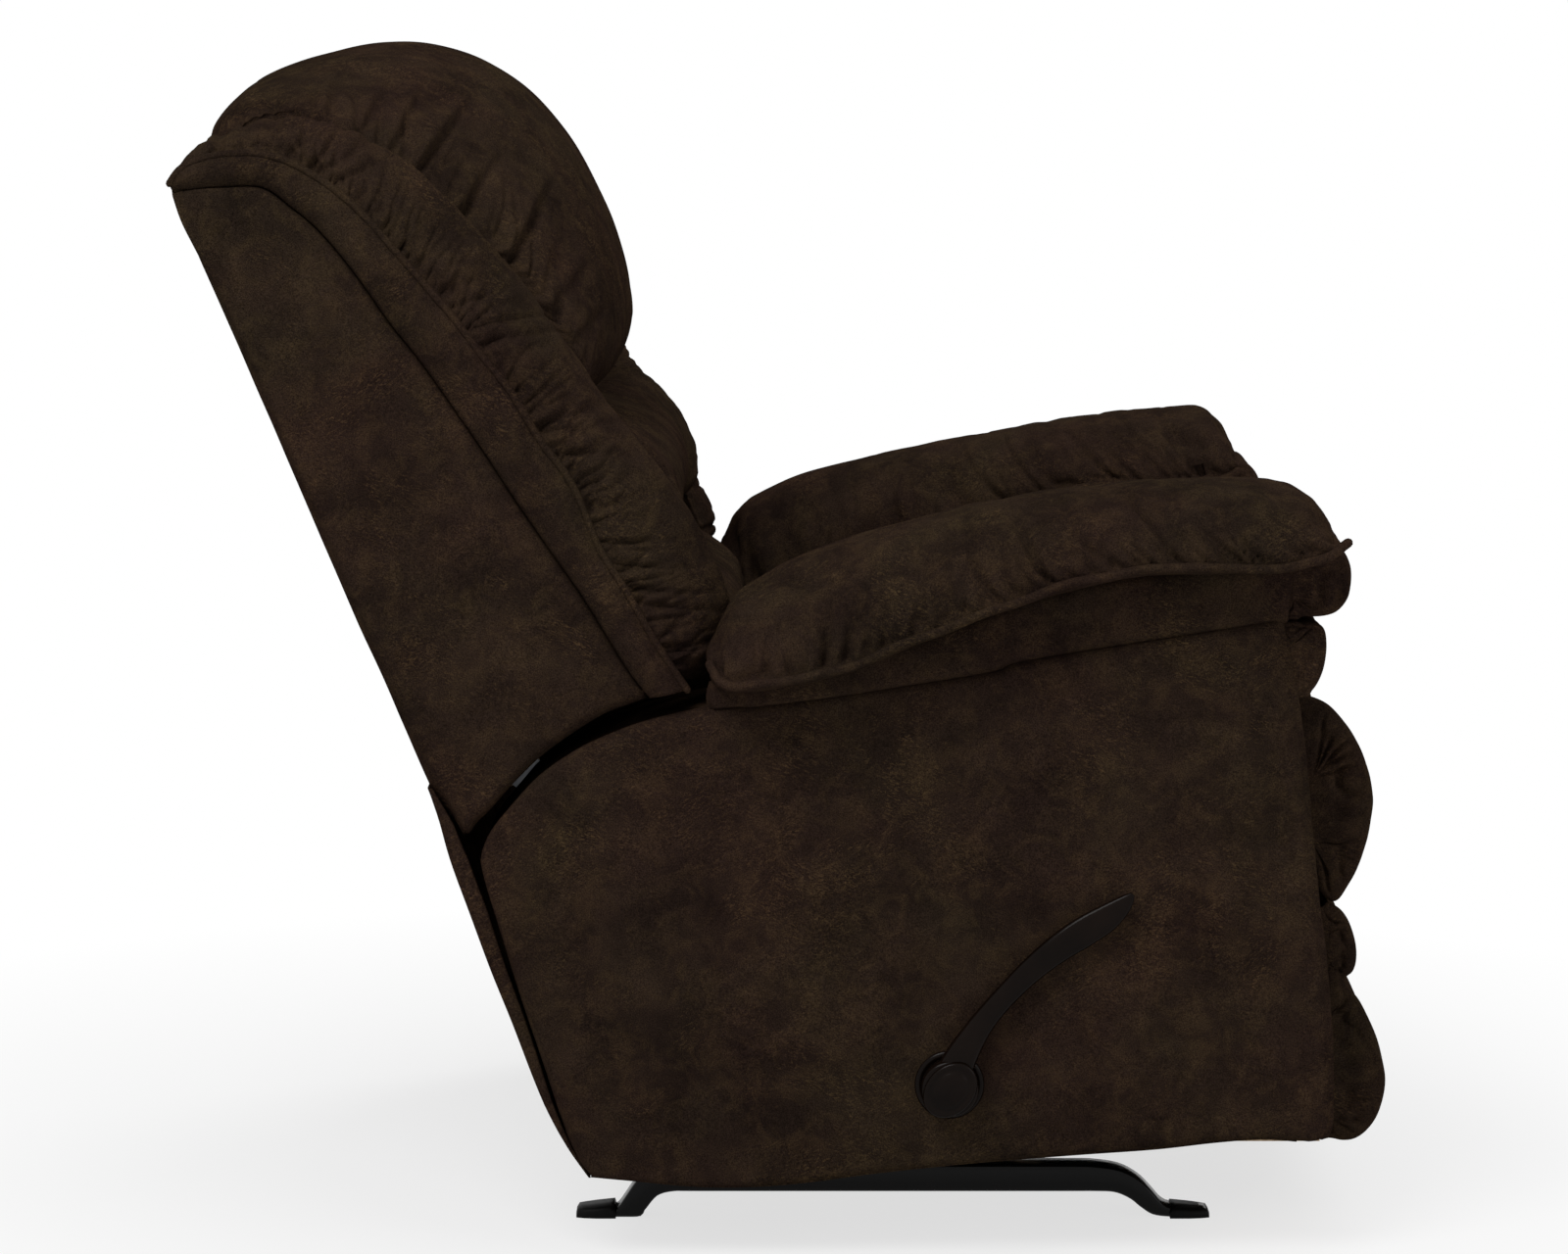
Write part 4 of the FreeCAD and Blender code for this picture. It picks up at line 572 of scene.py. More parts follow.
def black_steel(n):
    """Stamped steel under black gloss paint, with dust and a slight orange peel."""
    vector = n.vector()
    wear = n.noise(vector, 60.0, 6.0, 0.7)
    paint = n.ramp(wear, (0.35, (0.0012, 0.0011, 0.0010)), (0.62, (0.0025, 0.0023, 0.0021)),
                   (0.80, (0.0080, 0.0070, 0.0062)))
    return {"Base Color": paint,
            "Roughness": n.map(wear, 0.3, 0.8, 0.16, 0.34),
            "Specular IOR Level": 0.10, "Coat Weight": 0.03, "Coat Roughness": 0.10,
            "Normal": n.bump(n.noise(vector, 260.0, 2.0), 0.0005, 0.12)}


def zinc(n):
    """Zinc-plated steel: grey with a soft spangle and fine rolling lines."""
    vector = n.vector()
    cells = n.new("TexVoronoi", {"Vector": vector, "Scale": 90.0}, "Distance")
    streaks = n.noise(vector, 180.0, 5.0, 0.6)
    return {"Base Color": n.ramp(cells, (0.0, (0.30, 0.31, 0.32)), (1.0, (0.46, 0.47, 0.48))),
            "Metallic": 1.0,
            "Roughness": n.map(streaks, 0.3, 0.7, 0.34, 0.52),
            "Normal": n.bump(streaks, 0.0003, 0.2)}


def wood(n):
    """Bare pine and plywood with long growth lines."""
    vector = n.mapping(n.vector(), Scale=(12.0, 1.5, 12.0))
    wave = n.new("TexWave", {"Vector": vector, "Scale": 3.0, "Distortion": 5.0, "Detail": 3.0}, "Fac")
    fibre = n.noise(vector, 20.0, 4.0)
    return {"Base Color": n.ramp(wave, (0.2, (0.42, 0.27, 0.14)), (0.8, (0.56, 0.40, 0.24))),
            "Roughness": n.map(fibre, 0.3, 0.7, 0.55, 0.75),
            "Normal": n.bump(fibre, 0.0008, 0.3)}


CLOTH = new_material("upholstery_cloth", upholstery)
HANDLE_PLASTIC = new_material("handle_plastic", lambda n: plastic(
    n, (0.0032, 0.0017, 0.0011), (0.0070, 0.0038, 0.0025), 0.17, 500.0))
FOOT_PLASTIC = new_material("foot_plastic", lambda n: plastic(
    n, (0.003, 0.003, 0.003), (0.007, 0.0065, 0.0065), 0.42, 700.0))
BLACK_STEEL = new_material("black_painted_steel", black_steel)
ZINC = new_material("zinc_plated_steel", zinc)
WOOD = new_material("bare_wood", wood)


# ---- panels of the arms and the back

def patch_points(low, high, rear, front, columns, rows):
    """A grid of side view points between four edges; rear and front run upward."""
    low, high = curve(low, columns), curve(high, columns)
    rear, front = curve(rear, rows), curve(front, rows)
    grid = []
    for r in range(rows):
        v = r / (rows - 1)
        line = []
        for c in range(columns):
            u = c / (columns - 1)
            edge = low[c] * (1 - v) + high[c] * v + rear[r] * (1 - u) + front[r] * u
            corner = (low[0] * (1 - u) + low[-1] * u) * (1 - v) + (high[0] * (1 - u) + high[-1] * u) * v
            line.append(edge - corner)
        grid.append(line)
    return grid


def rolled(distance, radius):
    """Height share of a rounded edge at a distance in from it."""
    return math.sqrt(max(0.0, 1 - (1 - min(1.0, distance / radius)) ** 2))


def panel(name, node, grid, side, face_y, thick, crown, rim, body, seed, drawn=None):
    """An upholstered panel: a flat back, a soft crowned face and rolled edges."""
    rows, columns = len(grid), len(grid[0])
    width = (grid[rows // 2][-1] - grid[rows // 2][0]).length
    height = (grid[-1][columns // 2] - grid[0][columns // 2]).length

    def place(r, c, u, v):
        p = grid[r][c]
        roll = rolled(min(u * width, (1 - u) * width, v * height, (1 - v) * height), rim)
        y = face_y - thick * (1 - roll) + crown * dome(u) * dome(v) * roll
        y += roll * wrinkle((p[0], p[1], 40.0 * side), 95.0, seed)
        if drawn is not None:
            y -= drawn(p[0], v) * roll
        return at(p, side * y), at(p, side * (face_y - thick))

    soft(sheet_piece(name, body, *layers(rows, columns, place)), node)


def wrap(name, node, path, near, far, side, thick, body, crown, inset):
    """Cloth drawn over an edge: it follows a side view path just inside it, across from near to far."""
    def place(r, c, u, v):
        d = (path[min(r + 1, len(path) - 1)] - path[max(r - 1, 0)]).normalized()
        out = Vector((-d[1], d[0]))
        y = side * (near + (far - near) * u)
        rise = (crown * dome(u) + 0.3 * wrinkle(at(path[r], y), 55.0, 2.0 + side)) \
            * rolled(min(u, 1 - u) * (far - near), 12.0)
        return [at(path[r] + out * (height - inset), y) for height in (rise, -thick)]

    soft(sheet_piece(name, body, *layers(len(path), 34, place)), node)


# ---- arms

ARM_CORNER = ((-279, 357), (-270, 379), (-252, 402), (-226, 430), (-193, 453), (-163, 467), (-136, 477),
              (-97, 487))
ARM_REAR = ((-183, 72), (-196, 89), (-210, 127), (-224, 171), (-242, 226), (-258, 279), (-274, 333),
            (-279, 357))
ARM_TOP = ARM_CORNER + ((-51, 495), (-19, 498), (157, 523), (205, 536), (418, 571))
ARM_FRONT = ((465, 108), (469, 118), (469, 153), (468, 190), (464, 238), (460, 282), (454, 324), (443, 429),
             (431, 517), (418, 571))
ARM_LOW = ((-183, 72), (-151, 69), (-82, 63), (-13, 65), (73, 76), (159, 85), (245, 92), (314, 97),
           (366, 103), (407, 106), (438, 104), (453, 103), (465, 108))
WELT_LINE = ((-77, 533), (-68, 520), (-54, 515), (-35, 519), (6, 525), (45, 535), (85, 552), (140, 573),
             (188, 591), (236, 607), (283, 616), (335, 621), (363, 619), (415, 620), (446, 626), (461, 633))
WELT_TIP = (471, 640)   # the right pad's outer welt ends in a small ear
# arm pad stations: X, height of the welt and of the crest, share of the full width
PAD_STATIONS = ((-79, 534, 549, 0.60), (-77, 527, 561, 0.74), (-71, 520, 577, 0.85), (-60, 516, 591, 0.91),
                (-41, 516, 603, 0.95), (-10, 521, 621, 0.98), (45, 534, 641, 1.0), (110, 562, 659, 1.0),
                (188, 591, 676, 1.0), (283, 616, 690, 1.0), (363, 619, 694, 1.0), (406, 620, 693, 1.0),
                (430, 624, 690, 1.0), (446, 628, 683, 0.97), (456, 631, 670, 0.94), (462, 634, 657, 0.90),
                (466, 636, 647, 0.82))
# a pad's section: share of its half width, then mm below the welt or share of the rise above it
PAD_UNDER = ((-0.80, 7), (-0.4, 11), (0.4, 11), (0.80, 7))
PAD_OVER = ((0.955, 0.0), (1.0, 0.24), (0.95, 0.52), (0.76, 0.79), (0.42, 0.95), (0.0, 1.0))
PAD_GATHERS = ((14.0, 64.0, 6.0, 0, 3.0, 0.0), (34.0, 95.0, 8.0, 20, 3.8, 0.0))
# the left pad is packed a little lower and shorter
PAD_DROP = 17.0
LEFT_WELT = -8.0
PAD_SHORTENS, PAD_SHORTER = 380, 0.78

PAD_ROWS = [(i, *row) for i, row in enumerate(smooth_table(PAD_STATIONS, 60))]


def arm_panel(side, name):
    """Outer panel of an arm."""
    grid = patch_points(ARM_LOW, ARM_TOP, ARM_REAR, ARM_FRONT, 116, 84)
    panel("arm_side_" + name, "arm_outer_panel_" + name, grid, side, ARM_OUTER + 1.0, 15.0, 3.0, 8.0, "frame",
          3.0 + side)


def arm_band(side, name):
    """Padded strip between the outer panel's seam and the arm pad."""
    low = ((-79, 487), (-52, 489), (-19, 491), (157, 516), (205, 529), (426, 563))
    high = ((-78, 513), (-56, 514), (6, 523), (45, 533), (85, 550), (140, 571), (236, 605), (335, 619),
            (430, 621))
    rear, front = ((-79, 487), (-81, 499), (-78, 513)), ((426, 563), (430, 597), (430, 621))

    def drawn(x, v):
        return puckers(x + 97, (1 - v) * 50.0, 26.0, 34.0, 2.4, 31.5 + side)

    panel("arm_band_soft_" + name, "arm_band_" + name, patch_points(low, high, rear, front, 150, 26), side,
          ARM_OUTER - 1.0, 17.0, 8.0, 13.0, "frame", 9.0, drawn)


def arm_edge(side, name):
    """Cloth over the arm's rear edge and round its corner, and under the arm."""
    rear = curve(ARM_REAR + ARM_CORNER[1:] + ((-51, 495), (-19, 498), (70, 510)), 130)
    wrap("arm_edge_" + name, "arm_band_" + name, rear, ARM_INNER + 1.0, ARM_OUTER - 6.0, side, 6.0, "frame",
         0.6, 2.0)
    low = curve(ARM_LOW[-3::-1], 60)
    wrap("arm_under_" + name, "arm_outer_panel_" + name, low, ARM_INNER + 2.0, ARM_OUTER - 8.0, side, 3.0,
         "frame", 0.0, 0.0)


def pad_reach(x, side):
    """The left pad's front end is packed a little shorter."""
    return x if side < 0 or x < PAD_SHORTENS else PAD_SHORTENS + (x - PAD_SHORTENS) * PAD_SHORTER


def pad_line(side, bring):
    """Points along the arm pad's seams; bring is the share of its half width."""
    line = []
    for x, z in curve(WELT_LINE + ((WELT_TIP,) if side < 0 < bring else ()), 120):
        half = PAD_HALF * through(PAD_STATIONS, x, 3)
        line.append((pad_reach(x, side), side * (PAD_MIDDLE + bring * half),
                     z + 0.8 * math.sin(x * 0.09) + (LEFT_WELT if side > 0 else 0.0)))
    return line


def arm_pad(side, name):
    """Pillow that tops an arm, puckered along its welt."""
    rings = []
    drop, lower = (PAD_DROP, LEFT_WELT) if side > 0 else (0.0, 0.0)
    # stations evenly spaced along the pad
    for station in curve([(row[1], row[3] / 3, row[0] / 100) for row in PAD_ROWS], 120):
        x, welt, crest, share = (through(PAD_ROWS, station[2] * 100, c) for c in (1, 2, 3, 4))
        half = PAD_HALF * share
        welt += lower
        rise = crest - drop * math.sin(math.pi * clamp((x + 79) / 530)) - welt
        over = [(a * half, welt + b * rise) for a, b in PAD_OVER]
        section = [(a * half, welt - b) for a, b in PAD_UNDER] + over + [(-a, z) for a, z in over[-2::-1]]
        x = pad_reach(x, side)
        section = curve(section, 64, closed=True, sharp=(4, 14))
        rings.append([(x, side * (PAD_MIDDLE + y), z) for y, z in section])
    rings = close_ends(rings, 2.5)

    def height(p):
        return p[2] - through(PAD_STATIONS, p[0], 1) - lower

    def held(p):
        return 1 - (height(p) - 3) / 30 if height(p) > 3 else 1.0

    def detail(u, v, p, edge):
        high = height(p)
        if high < 1:
            return 0.6 * wrinkle(p, 60.0, 5.0)
        across = abs(p[1]) - PAD_MIDDLE
        along = p[0] + 90 + 0.9 * clamp((p[0] - 100) / 150) * high
        drawn = gathers(PAD_GATHERS, along, high, side + math.copysign(3.5, across))
        return (1.6 * wrinkle(p, 60.0, 5.0 + side)
                - drawn * clamp(high / 6) * clamp(abs(across) / 50)) * clamp(30 * min(u, 1 - u))

    stuffed("arm_pillow_" + name, rings, "frame", "arm_pad_" + name, detail, held, 9.0)
    cord("arm_pillow_welt_" + name, pad_line(side, 0.985), 4.2, "frame")
    cord("arm_pillow_inner_welt_" + name, pad_line(side, -0.985), 4.2, "frame")


UPPER_ROLL = ((408, 630), (440, 635), (462, 634), (472, 627), (478, 616), (480, 604), (479, 591), (476, 582),
              (469, 573), (460, 568), (444, 566), (408, 566))
LOWER_ROLL = ((406, 564), (438, 565), (451, 563), (457, 556), (459, 542), (457, 526), (453, 513), (447, 503),
              (438, 495), (406, 494))


def arm_roll(name, node, side, outline, middle, seed):
    """A gathered roll across the front of an arm, with soft pleated ends."""
    near, far = ARM_INNER + 12.0, ARM_OUTER - 22.0
    ahead = -10.0 if side > 0 else 3.5
    section = [(x + ahead, z) for x, z in curve(outline, 64, closed=True, sharp=(0, len(outline) - 1))]
    rings = [[at(p, side * (near + (far - near) * i / 19)) for p in section] for i in range(20)]
    reach = max(z for x, z in outline) - middle - 20.0

    def heart(p):
        share = clamp((p[0] - 410) / 12)
        z = middle + max(-reach, min(reach, p[2] - middle))
        return (p[0] + (428.0 - p[0]) * share, p[2] + (z - p[2]) * share)

    def detail(u, v, p, edge):
        if p[0] < 414:
            return 0.0
        lip = 1.8 * bell((edge - 0.72) / 0.06)
        return 0.9 * wrinkle(p, 45.0, seed) - fan(v, edge, 17.0, 6.5, seed) - lip

    stuffed(name, capped(rings, heart, 12.0, 10, 5.0), "frame", node, detail,
            lambda p: 1.0 if p[0] < 434 else 0.0, 2.5, 10)


def arm_front(side, name):
    """Front cover of an arm with its two gathered rolls."""
    node = "arm_front_pad_" + name
    arm_roll("arm_roll_upper_" + name, node, side, UPPER_ROLL, 600.0, 51.5 + side)
    arm_roll("arm_roll_lower_" + name, node, side, LOWER_ROLL, 530.0, 61.5 + side)
    line = curve(ARM_FRONT, 90)
    width = ARM_OUTER - 3.0 - ARM_INNER

    def place(r, c, u, v):
        x, z = line[r]
        y = side * (ARM_INNER + 0.5 + width * u)
        roll = rolled(min(u, 1 - u) * width, 9.0)
        puff = (2.5 * dome(u) + 0.9 * wrinkle((x, y, z), 70.0, 2.0)) * roll
        return (x - 8.0 * (1 - roll) + puff, y, z), (x - 8.2, y, z)

    soft(sheet_piece("arm_front_cover_" + name, "frame", *layers(90, 30, place)), node)


def arm_inside(side, name):
    """Inner panel of an arm, seen beside the seat."""
    low = ((-186, 84), (-82, 66), (73, 79), (245, 95), (366, 106), (462, 108))
    high = ((-266, 360), (-226, 422), (-163, 462), (-97, 480), (-60, 500), (6, 513), (45, 523), (110, 549),
            (188, 578), (283, 603), (363, 606), (416, 606))
    rear = ((-186, 84), (-212, 171), (-247, 279), (-266, 360))
    front = ((462, 108), (464, 153), (459, 238), (449, 324), (438, 429), (420, 560), (416, 606))
    grid = patch_points(low, high, rear, front, 70, 50)
    panel("arm_inside_" + name, "arm_inner_panel_" + name, grid, -side, 0.3 - ARM_INNER, 14.6, 0.0, 6.0,
          "frame", 4.0)


# ---- back

PANEL_LOW = ((-294, 376), (-288, 378), (-282, 387), (-269, 400), (-252, 420), (-226, 446), (-198, 467),
             (-171, 484), (-150, 492), (-132, 499))
PANEL_EDGE = ((4, 208), (31, 201), (70, 195), (110, 189), (158, 179), (213, 168), (248, 162), (294, 153),
              (350, 141), (390, 130), (433, 121), (464, 113), (493, 103), (516, 91), (541, 75), (554, 45),
              (563, 18))
BAND_EDGE = ((-2, 241), (46, 232), (96, 226), (142, 219), (203, 219), (246, 209), (296, 202), (336, 191),
             (376, 181), (414, 169), (450, 157), (483, 146), (510, 134), (538, 116), (559, 97), (573, 74),
             (583, 42), (583, 18), (575, 3))
WING_CREST = ((-8, 276), (30, 297), (59, 305), (123, 303), (160, 298), (191, 290), (210, 285), (250, 273),
              (277, 267), (340, 253), (399, 240), (466, 216), (512, 196), (548, 170), (577, 142), (593, 112),
              (600, 80), (600, 50), (594, 24), (583, 6))
# gathers that run from the wing's welt over it, some of them slanting
WING_GATHERS = ((8.5, 56.0, 6.5, 0, 3.4, 0.0), (30.0, 66.0, 8.0, 10, 4.5, 0.6))
WING_COLUMNS = 190


def back_side(side, name):
    """Flat side panel of the back."""
    rear = back_points(((-45, 10), (-11, 6), (12, 3), (93, 2), (300, 2), (446, 3), (515, -1), (543, -2),
                        (570, 1)))
    high = back_points(((570, 1), (568, 8), (563, 18)))
    grid = patch_points(PANEL_LOW, high, rear, back_points(PANEL_EDGE), 64, 116)
    panel("back_side_" + name, "back_side_panel_" + name, grid, side, BACK_OUTER + 1.5, 13.0, 4.0, 8.0,
          "back", 7.0)
    low = curve(PANEL_LOW[:0:-1], 50)
    wrap("back_under_" + name, "back_side_panel_" + name, low, 297.0, BACK_OUTER - 4.0, side, 3.0, "back",
         2.0, 4.0)


def back_band(side, name):
    """Boxing band round the edge of the back's side panel, and the welt along it."""
    first, second = ([Vector(at(p, side * (BACK_OUTER - inset))) for p in curve(back_points(line), 200)]
                     for line, inset in ((PANEL_EDGE + ((570, 2),), 1.0), (BAND_EDGE, 2.0)))

    def place(r, c, u, v):
        a, b = first[r], second[r]
        width = (b - a).length
        out = (Vector((0, side, 0)) + (b - a).normalized() * 0.15).normalized()
        p = a.lerp(b, u)
        drawn = puckers(3.6 * r, (1 - u) * width, 22.0, 26.0, 2.2, 75.5 + side)
        lift = 9.0 * math.sin(math.pi * u) ** 0.7 - drawn * math.sin(math.pi * u) ** 0.4
        lift = lift * clamp(width / 20) + 0.8 * wrinkle(p, 50.0, 1.5)
        return p + out * lift, p - Vector((0, side * 9.0, 0))

    soft(sheet_piece("back_band_" + name, "back", *layers(200, 18, place)), "back_side_panel_" + name)
    cord("back_welt_" + name, [p + Vector((0, side * 1.5, 0)) for p in second], 3.4, "back")


def back_wing(side, name):
    """Gathered bolster from the band's welt over to the pillows."""
    columns, total = WING_COLUMNS, 2 * WING_COLUMNS - 1
    # the left wing leans back a little towards its low end
    crest_line = [(a, o - (7.0 * clamp((420 - a) / 90) + 17.0 * clamp((270 - a) / 170) if side > 0 else 0.0))
                  for a, o in WING_CREST]
    welt, crest = (curve(back_points(line), columns) for line in (BAND_EDGE, crest_line))
    rings = []
    for c in range(columns):
        w = Vector(at(welt[c], side * (BACK_OUTER - 2.5)))
        k = Vector(at(crest[c], side * WING_CREST_Y))
        up = (k - w).normalized()
        up = Vector((up[0], 0, up[2])).normalized()
        s = Vector(at(crest[c], side * (WING_INNER + 1.5))) - up * 15.0
        deep = min(1.0, (columns - c) / 44)
        out = Vector((0, side, 0))
        ring = [w, w.lerp(k, 0.45) + out * 14.0 + up * 3.0, k, k.lerp(s, 0.55) + up * 5.0, s,
                s - up * 34.0 * deep + out * 2.0, w - up * 12.0 * deep - out * 20.0]
        # both ends are eased to a rounded close
        ease = math.sqrt(max(0.02, 1 - clamp((c - (columns - 10)) / 9) ** 2)) * math.sqrt(
            max(0.02, 1 - clamp((9 - c) / 9) ** 2))
        ring = curve(ring, 46, closed=True, sharp=(0, 4, 5, 6))
        middle = middle_of(ring)
        rings.append([middle + (p - middle) * ease for p in ring])
    length = span_of(welt)
    fine, fine_crest = (curve(back_points(line), total) for line in (BAND_EDGE, crest_line))
    inside = [Vector(at(p, side * (WING_INNER + 1.5))) for p in fine_crest]

    def detail(u, v, p, edge):
        if v > 0.73:
            return 0.0
        c = int(round(u * (total - 1)))
        from_welt = math.hypot(p[0] - fine[c][0], p[2] - fine[c][1])
        ends = clamp((columns - 1 - abs(c - columns + 1)) / 12)
        narrow = clamp((fine_crest[c] - fine[c]).length / 52)
        drawn = gathers(WING_GATHERS, length * u, from_welt, 171.5 + side)
        drawn += puckers(length * u, (p - inside[c]).length, 24.0, 45.0, 1.2, 191.5 + side)
        return (2.0 * wrinkle(p, 38.0, 6.0 + side) - drawn) * clamp(from_welt / 5) * ends * narrow

    def held(p):
        along, over = back_place(p)
        return 1.0 if over < through(sorted(BAND_EDGE), along) + 8 or abs(p[1]) < WING_INNER + 6 else 0.0

    stuffed("back_bolster_" + name, rings, "back", "back_wing_" + name, detail, held, 4.0)


def back_outside():
    """Large flat panel behind the back, and the cloth over its top rail."""
    half, tall = BACK_OUTER - 1.5, 611.0

    def behind(r, c, u, v):
        along, y = -40 + tall * v, (2 * u - 1) * half
        roll = rolled(min(v * tall, (1 - v) * tall, half - abs(y)), 9.0)
        swell = (4.0 * dome(u) * dome(v) + 1.5 * wrinkle((y, along, 0), 130.0, 3.0)) * roll
        lower = 10 * clamp(-along / 45)
        return [at(on_back(along, over + lower), y) for over in (8.0 * (1 - roll) - swell, 8.2)]

    def on_top(r, c, u, v):
        over, y = 3 + 62.0 * v, (2 * u - 1) * half
        rise = 2.0 * rolled(over - 3, 9.0) + 1.2 * wrinkle((y, over, 0), 40.0, 5.0)
        return [at(on_back(along, over), y) for along in (571.5 + rise, 565.5)]

    soft(sheet_piece("back_rear_panel", "back", *layers(76, 90, behind)), "back_outer_panel")
    soft(sheet_piece("back_top_cloth", "back", *layers(14, 90, on_top)), "back_outer_panel")


# ---- pillows of the back

HEAD_MIDDLE = ((572, 30), (592, 20), (608, 22), (622, 42), (634, 72), (638, 100), (638, 124), (633, 166),
               (620, 210), (601, 241), (574, 272), (539, 297), (508, 311), (465, 321), (427, 325),
               (385, 325), (346, 321), (310, 313), (280, 304), (258, 291), (246, 272), (244, 236),
               (246, 150), (252, 64))
HEAD_SIDE = ((570, 34), (578, 28), (588, 30), (598, 42), (603, 62), (603, 88), (594, 118), (577, 143),
             (556, 163), (531, 182), (500, 199), (470, 213), (436, 226), (400, 240), (360, 252), (324, 260),
             (294, 262), (270, 257), (254, 240), (250, 212), (250, 180), (250, 130), (252, 64))
MIDDLE_PILLOW = ((240, 62), (241, 200), (241, 242), (237, 264), (224, 279), (201, 291), (174, 298),
                 (147, 300), (122, 297), (103, 289), (91, 274), (86, 250), (84, 200), (84, 74))
LOWER_PILLOW = ((78, 74), (78, 200), (77, 246), (69, 267), (50, 284), (20, 299), (-11, 299), (-33, 287),
                (-48, 268), (-56, 230), (-57, 160), (-57, 84))
# each crease runs from the side seam in over the pillow: its two ends, depth and half width
HEAD_CREASES = (((500, 192), (545, 262), 13.0, 4.6), ((390, 232), (445, 296), 13.0, 4.6), ((524, 178),
                (570, 222), 9.0, 4.0), ((553, 160), (586, 198), 8.0, 4.0), ((580, 140),
                (620, 158), 6.0, 4.0), ((450, 214), (482, 258), 8.0, 4.4), ((330, 244),
                (362, 296), 7.0, 6.0), ((300, 250), (318, 290), 6.0, 5.0), ((470, 208),
                (496, 236), 4.0, 4.0))
PILLOW_ENDS = 9.0   # how far the gathered ends of a pillow stand out


def across_rings(half, count, section):
    """Rings stacked along Y, closer together towards both sides; section gives one for a share."""
    rings = []
    for i in range(count):
        t = 2 * i / (count - 1) - 1
        spread = math.sin(t * math.pi / 2) * 0.45 + t * 0.55
        rings.append([at(p, half * spread) for p in section(abs(spread))])
    return rings


def eased(table, share, heart):
    """An outline drawn in towards a point."""
    return tuple((heart[0] + (a - heart[0]) * share, heart[1] + (o - heart[1]) * share) for a, o in table)


def pillow(name, node, half, middle, side_outline, seed, depth, tuck, spacing, creases=()):
    """A stuffed pillow with gathers that run in from both side seams."""
    seam = half - PILLOW_ENDS
    heart = on_back(sum(a for a, o in side_outline) / len(side_outline), 120)
    sets = ((spacing, 90.0, depth, 0, 3.6, 0.0), (17.0, 36.0, depth * 0.4, 5, 3.0, 0.0))

    def section(spread):
        points = [Vector(a).lerp(Vector(b), spread ** tuck) for a, b in zip(middle, side_outline)]
        return curve(back_points(points), 88, closed=True, sharp=(0, len(points) - 1))

    rings = capped(across_rings(seam, 52, section), lambda p: heart, PILLOW_ENDS, 6)
    girth = span_of(rings[30])

    def detail(u, v, p, edge):
        drawn = gathers(sets, girth * v, max(seam - abs(p[1]), 0.0), seed + math.copysign(0.7, p[1]))
        deep = crease_depth(creases, p) * clamp((abs(p[1]) - 150) / 70)
        return 2.0 * wrinkle(p, 110.0, seed * 0.1) - (drawn + deep) * clamp(edge)

    def held(p):
        return max(1 - (seam - abs(p[1])) / 70, 1 - (back_place(p)[1] - 75) / 60)

    stuffed(name, rings, "back", node, detail, held, 9.0, 6, rounder=bool(creases))


# ---- seat and footrest

SEAT_OUTLINE = ((-50, 329), (-50, 400), (-46, 430), (-24, 446), (40, 461), (130, 475), (230, 483),
                (330, 486), (400, 485), (436, 481), (452, 479), (473, 471), (492, 452), (505, 431),
                (516, 406), (520, 384), (518, 361), (514, 342), (507, 322), (498, 304), (488, 290),
                (478, 292), (468, 304), (460, 318), (458, 329), (300, 329), (120, 329))
FOOT_OUTLINE = ((475, 80), (475, 170), (475, 279), (485, 286), (496, 276), (504, 257), (507, 239),
                (504, 225), (496, 216), (508, 202), (518, 182), (526, 163), (531, 144), (534, 125),
                (532, 106), (526, 88), (515, 74), (502, 68), (486, 70))


PAD_ENDS = 13.0   # how far the sides of the seat and footrest pads stand out


def seat_pad():
    """Seat cushion with its rolled, gathered front."""
    seam = 284.0 - PAD_ENDS
    # closer points round the rolled front, where the pleats are
    section = curve(SEAT_OUTLINE[9:25], 80)
    section += curve(SEAT_OUTLINE[24:] + SEAT_OUTLINE[:10], 34, sharp=(0, 3))[1:-1]
    rings = capped(across_rings(seam, 46, lambda share: section),
                   lambda p: (min(p[0], 463.0), max(345.0, min(405.0, p[2]))), PAD_ENDS, 8, 5.0)

    def below(p):
        return p[2] < 331 and p[0] < 459

    def detail(u, v, p, edge):
        if below(p):
            return 0.0
        groove = 3.5 * bell((p[0] - 440) / 4.5) if p[2] > 440 and edge >= 1 else 0.0
        puffs = 2.0 * wrinkle(p, 110.0, 8.0) + 0.8 * wrinkle(p, 34.0, 4.0)
        return (puffs - fan(v, edge, 26.0, 11.0, 301.5 + math.copysign(1.0, p[1])) - groove) * clamp(edge * 6)

    def held(p):
        return 1.0 if below(p) else max(0.0, 1 - (seam - abs(p[1])) / 50)

    stuffed("seat_pad", rings, "seat", "seat_cushion", detail, held, 7.0, 8)


def foot_pad():
    """Footrest cushion of two rolls, gathered at both sides."""
    half = 286.0
    seam = half - PAD_ENDS
    section = curve(FOOT_OUTLINE, 96, closed=True)

    def heart(p):
        share = clamp((p[0] - 476) / 10)
        z = max(234.0, min(262.0, p[2])) if p[2] > 215 else max(92.0, min(186.0, p[2]))
        return (464.0 + 16.0 * share, p[2] + (z - p[2]) * max(share, 0.15))

    rings = capped(across_rings(seam, 46, lambda share: section), heart, PAD_ENDS, 8)

    def detail(u, v, p, edge):
        if p[0] < 478:
            return 0.0
        drawn = fan(v, edge, 36.0, 8.0, 321.5 + math.copysign(1.0, p[1]))
        if edge >= 1:
            drawn += puckers(p[1] + half, abs(p[2] - 216.0), 26.0, 34.0, 4.0, 341.5)
        return (1.4 * wrinkle(p, 90.0, 2.0) - drawn) * clamp(edge * 6)

    def held(p):
        fixed = 1.0 if p[0] < 479 or (abs(p[2] - 216) < 8 and p[0] < 508) else 0.0
        return max(fixed, 1 - (seam - abs(p[1])) / 50)

    stuffed("footrest_cushion", rings, "footrest", "footrest_pad", detail, held, 6.0, 8)


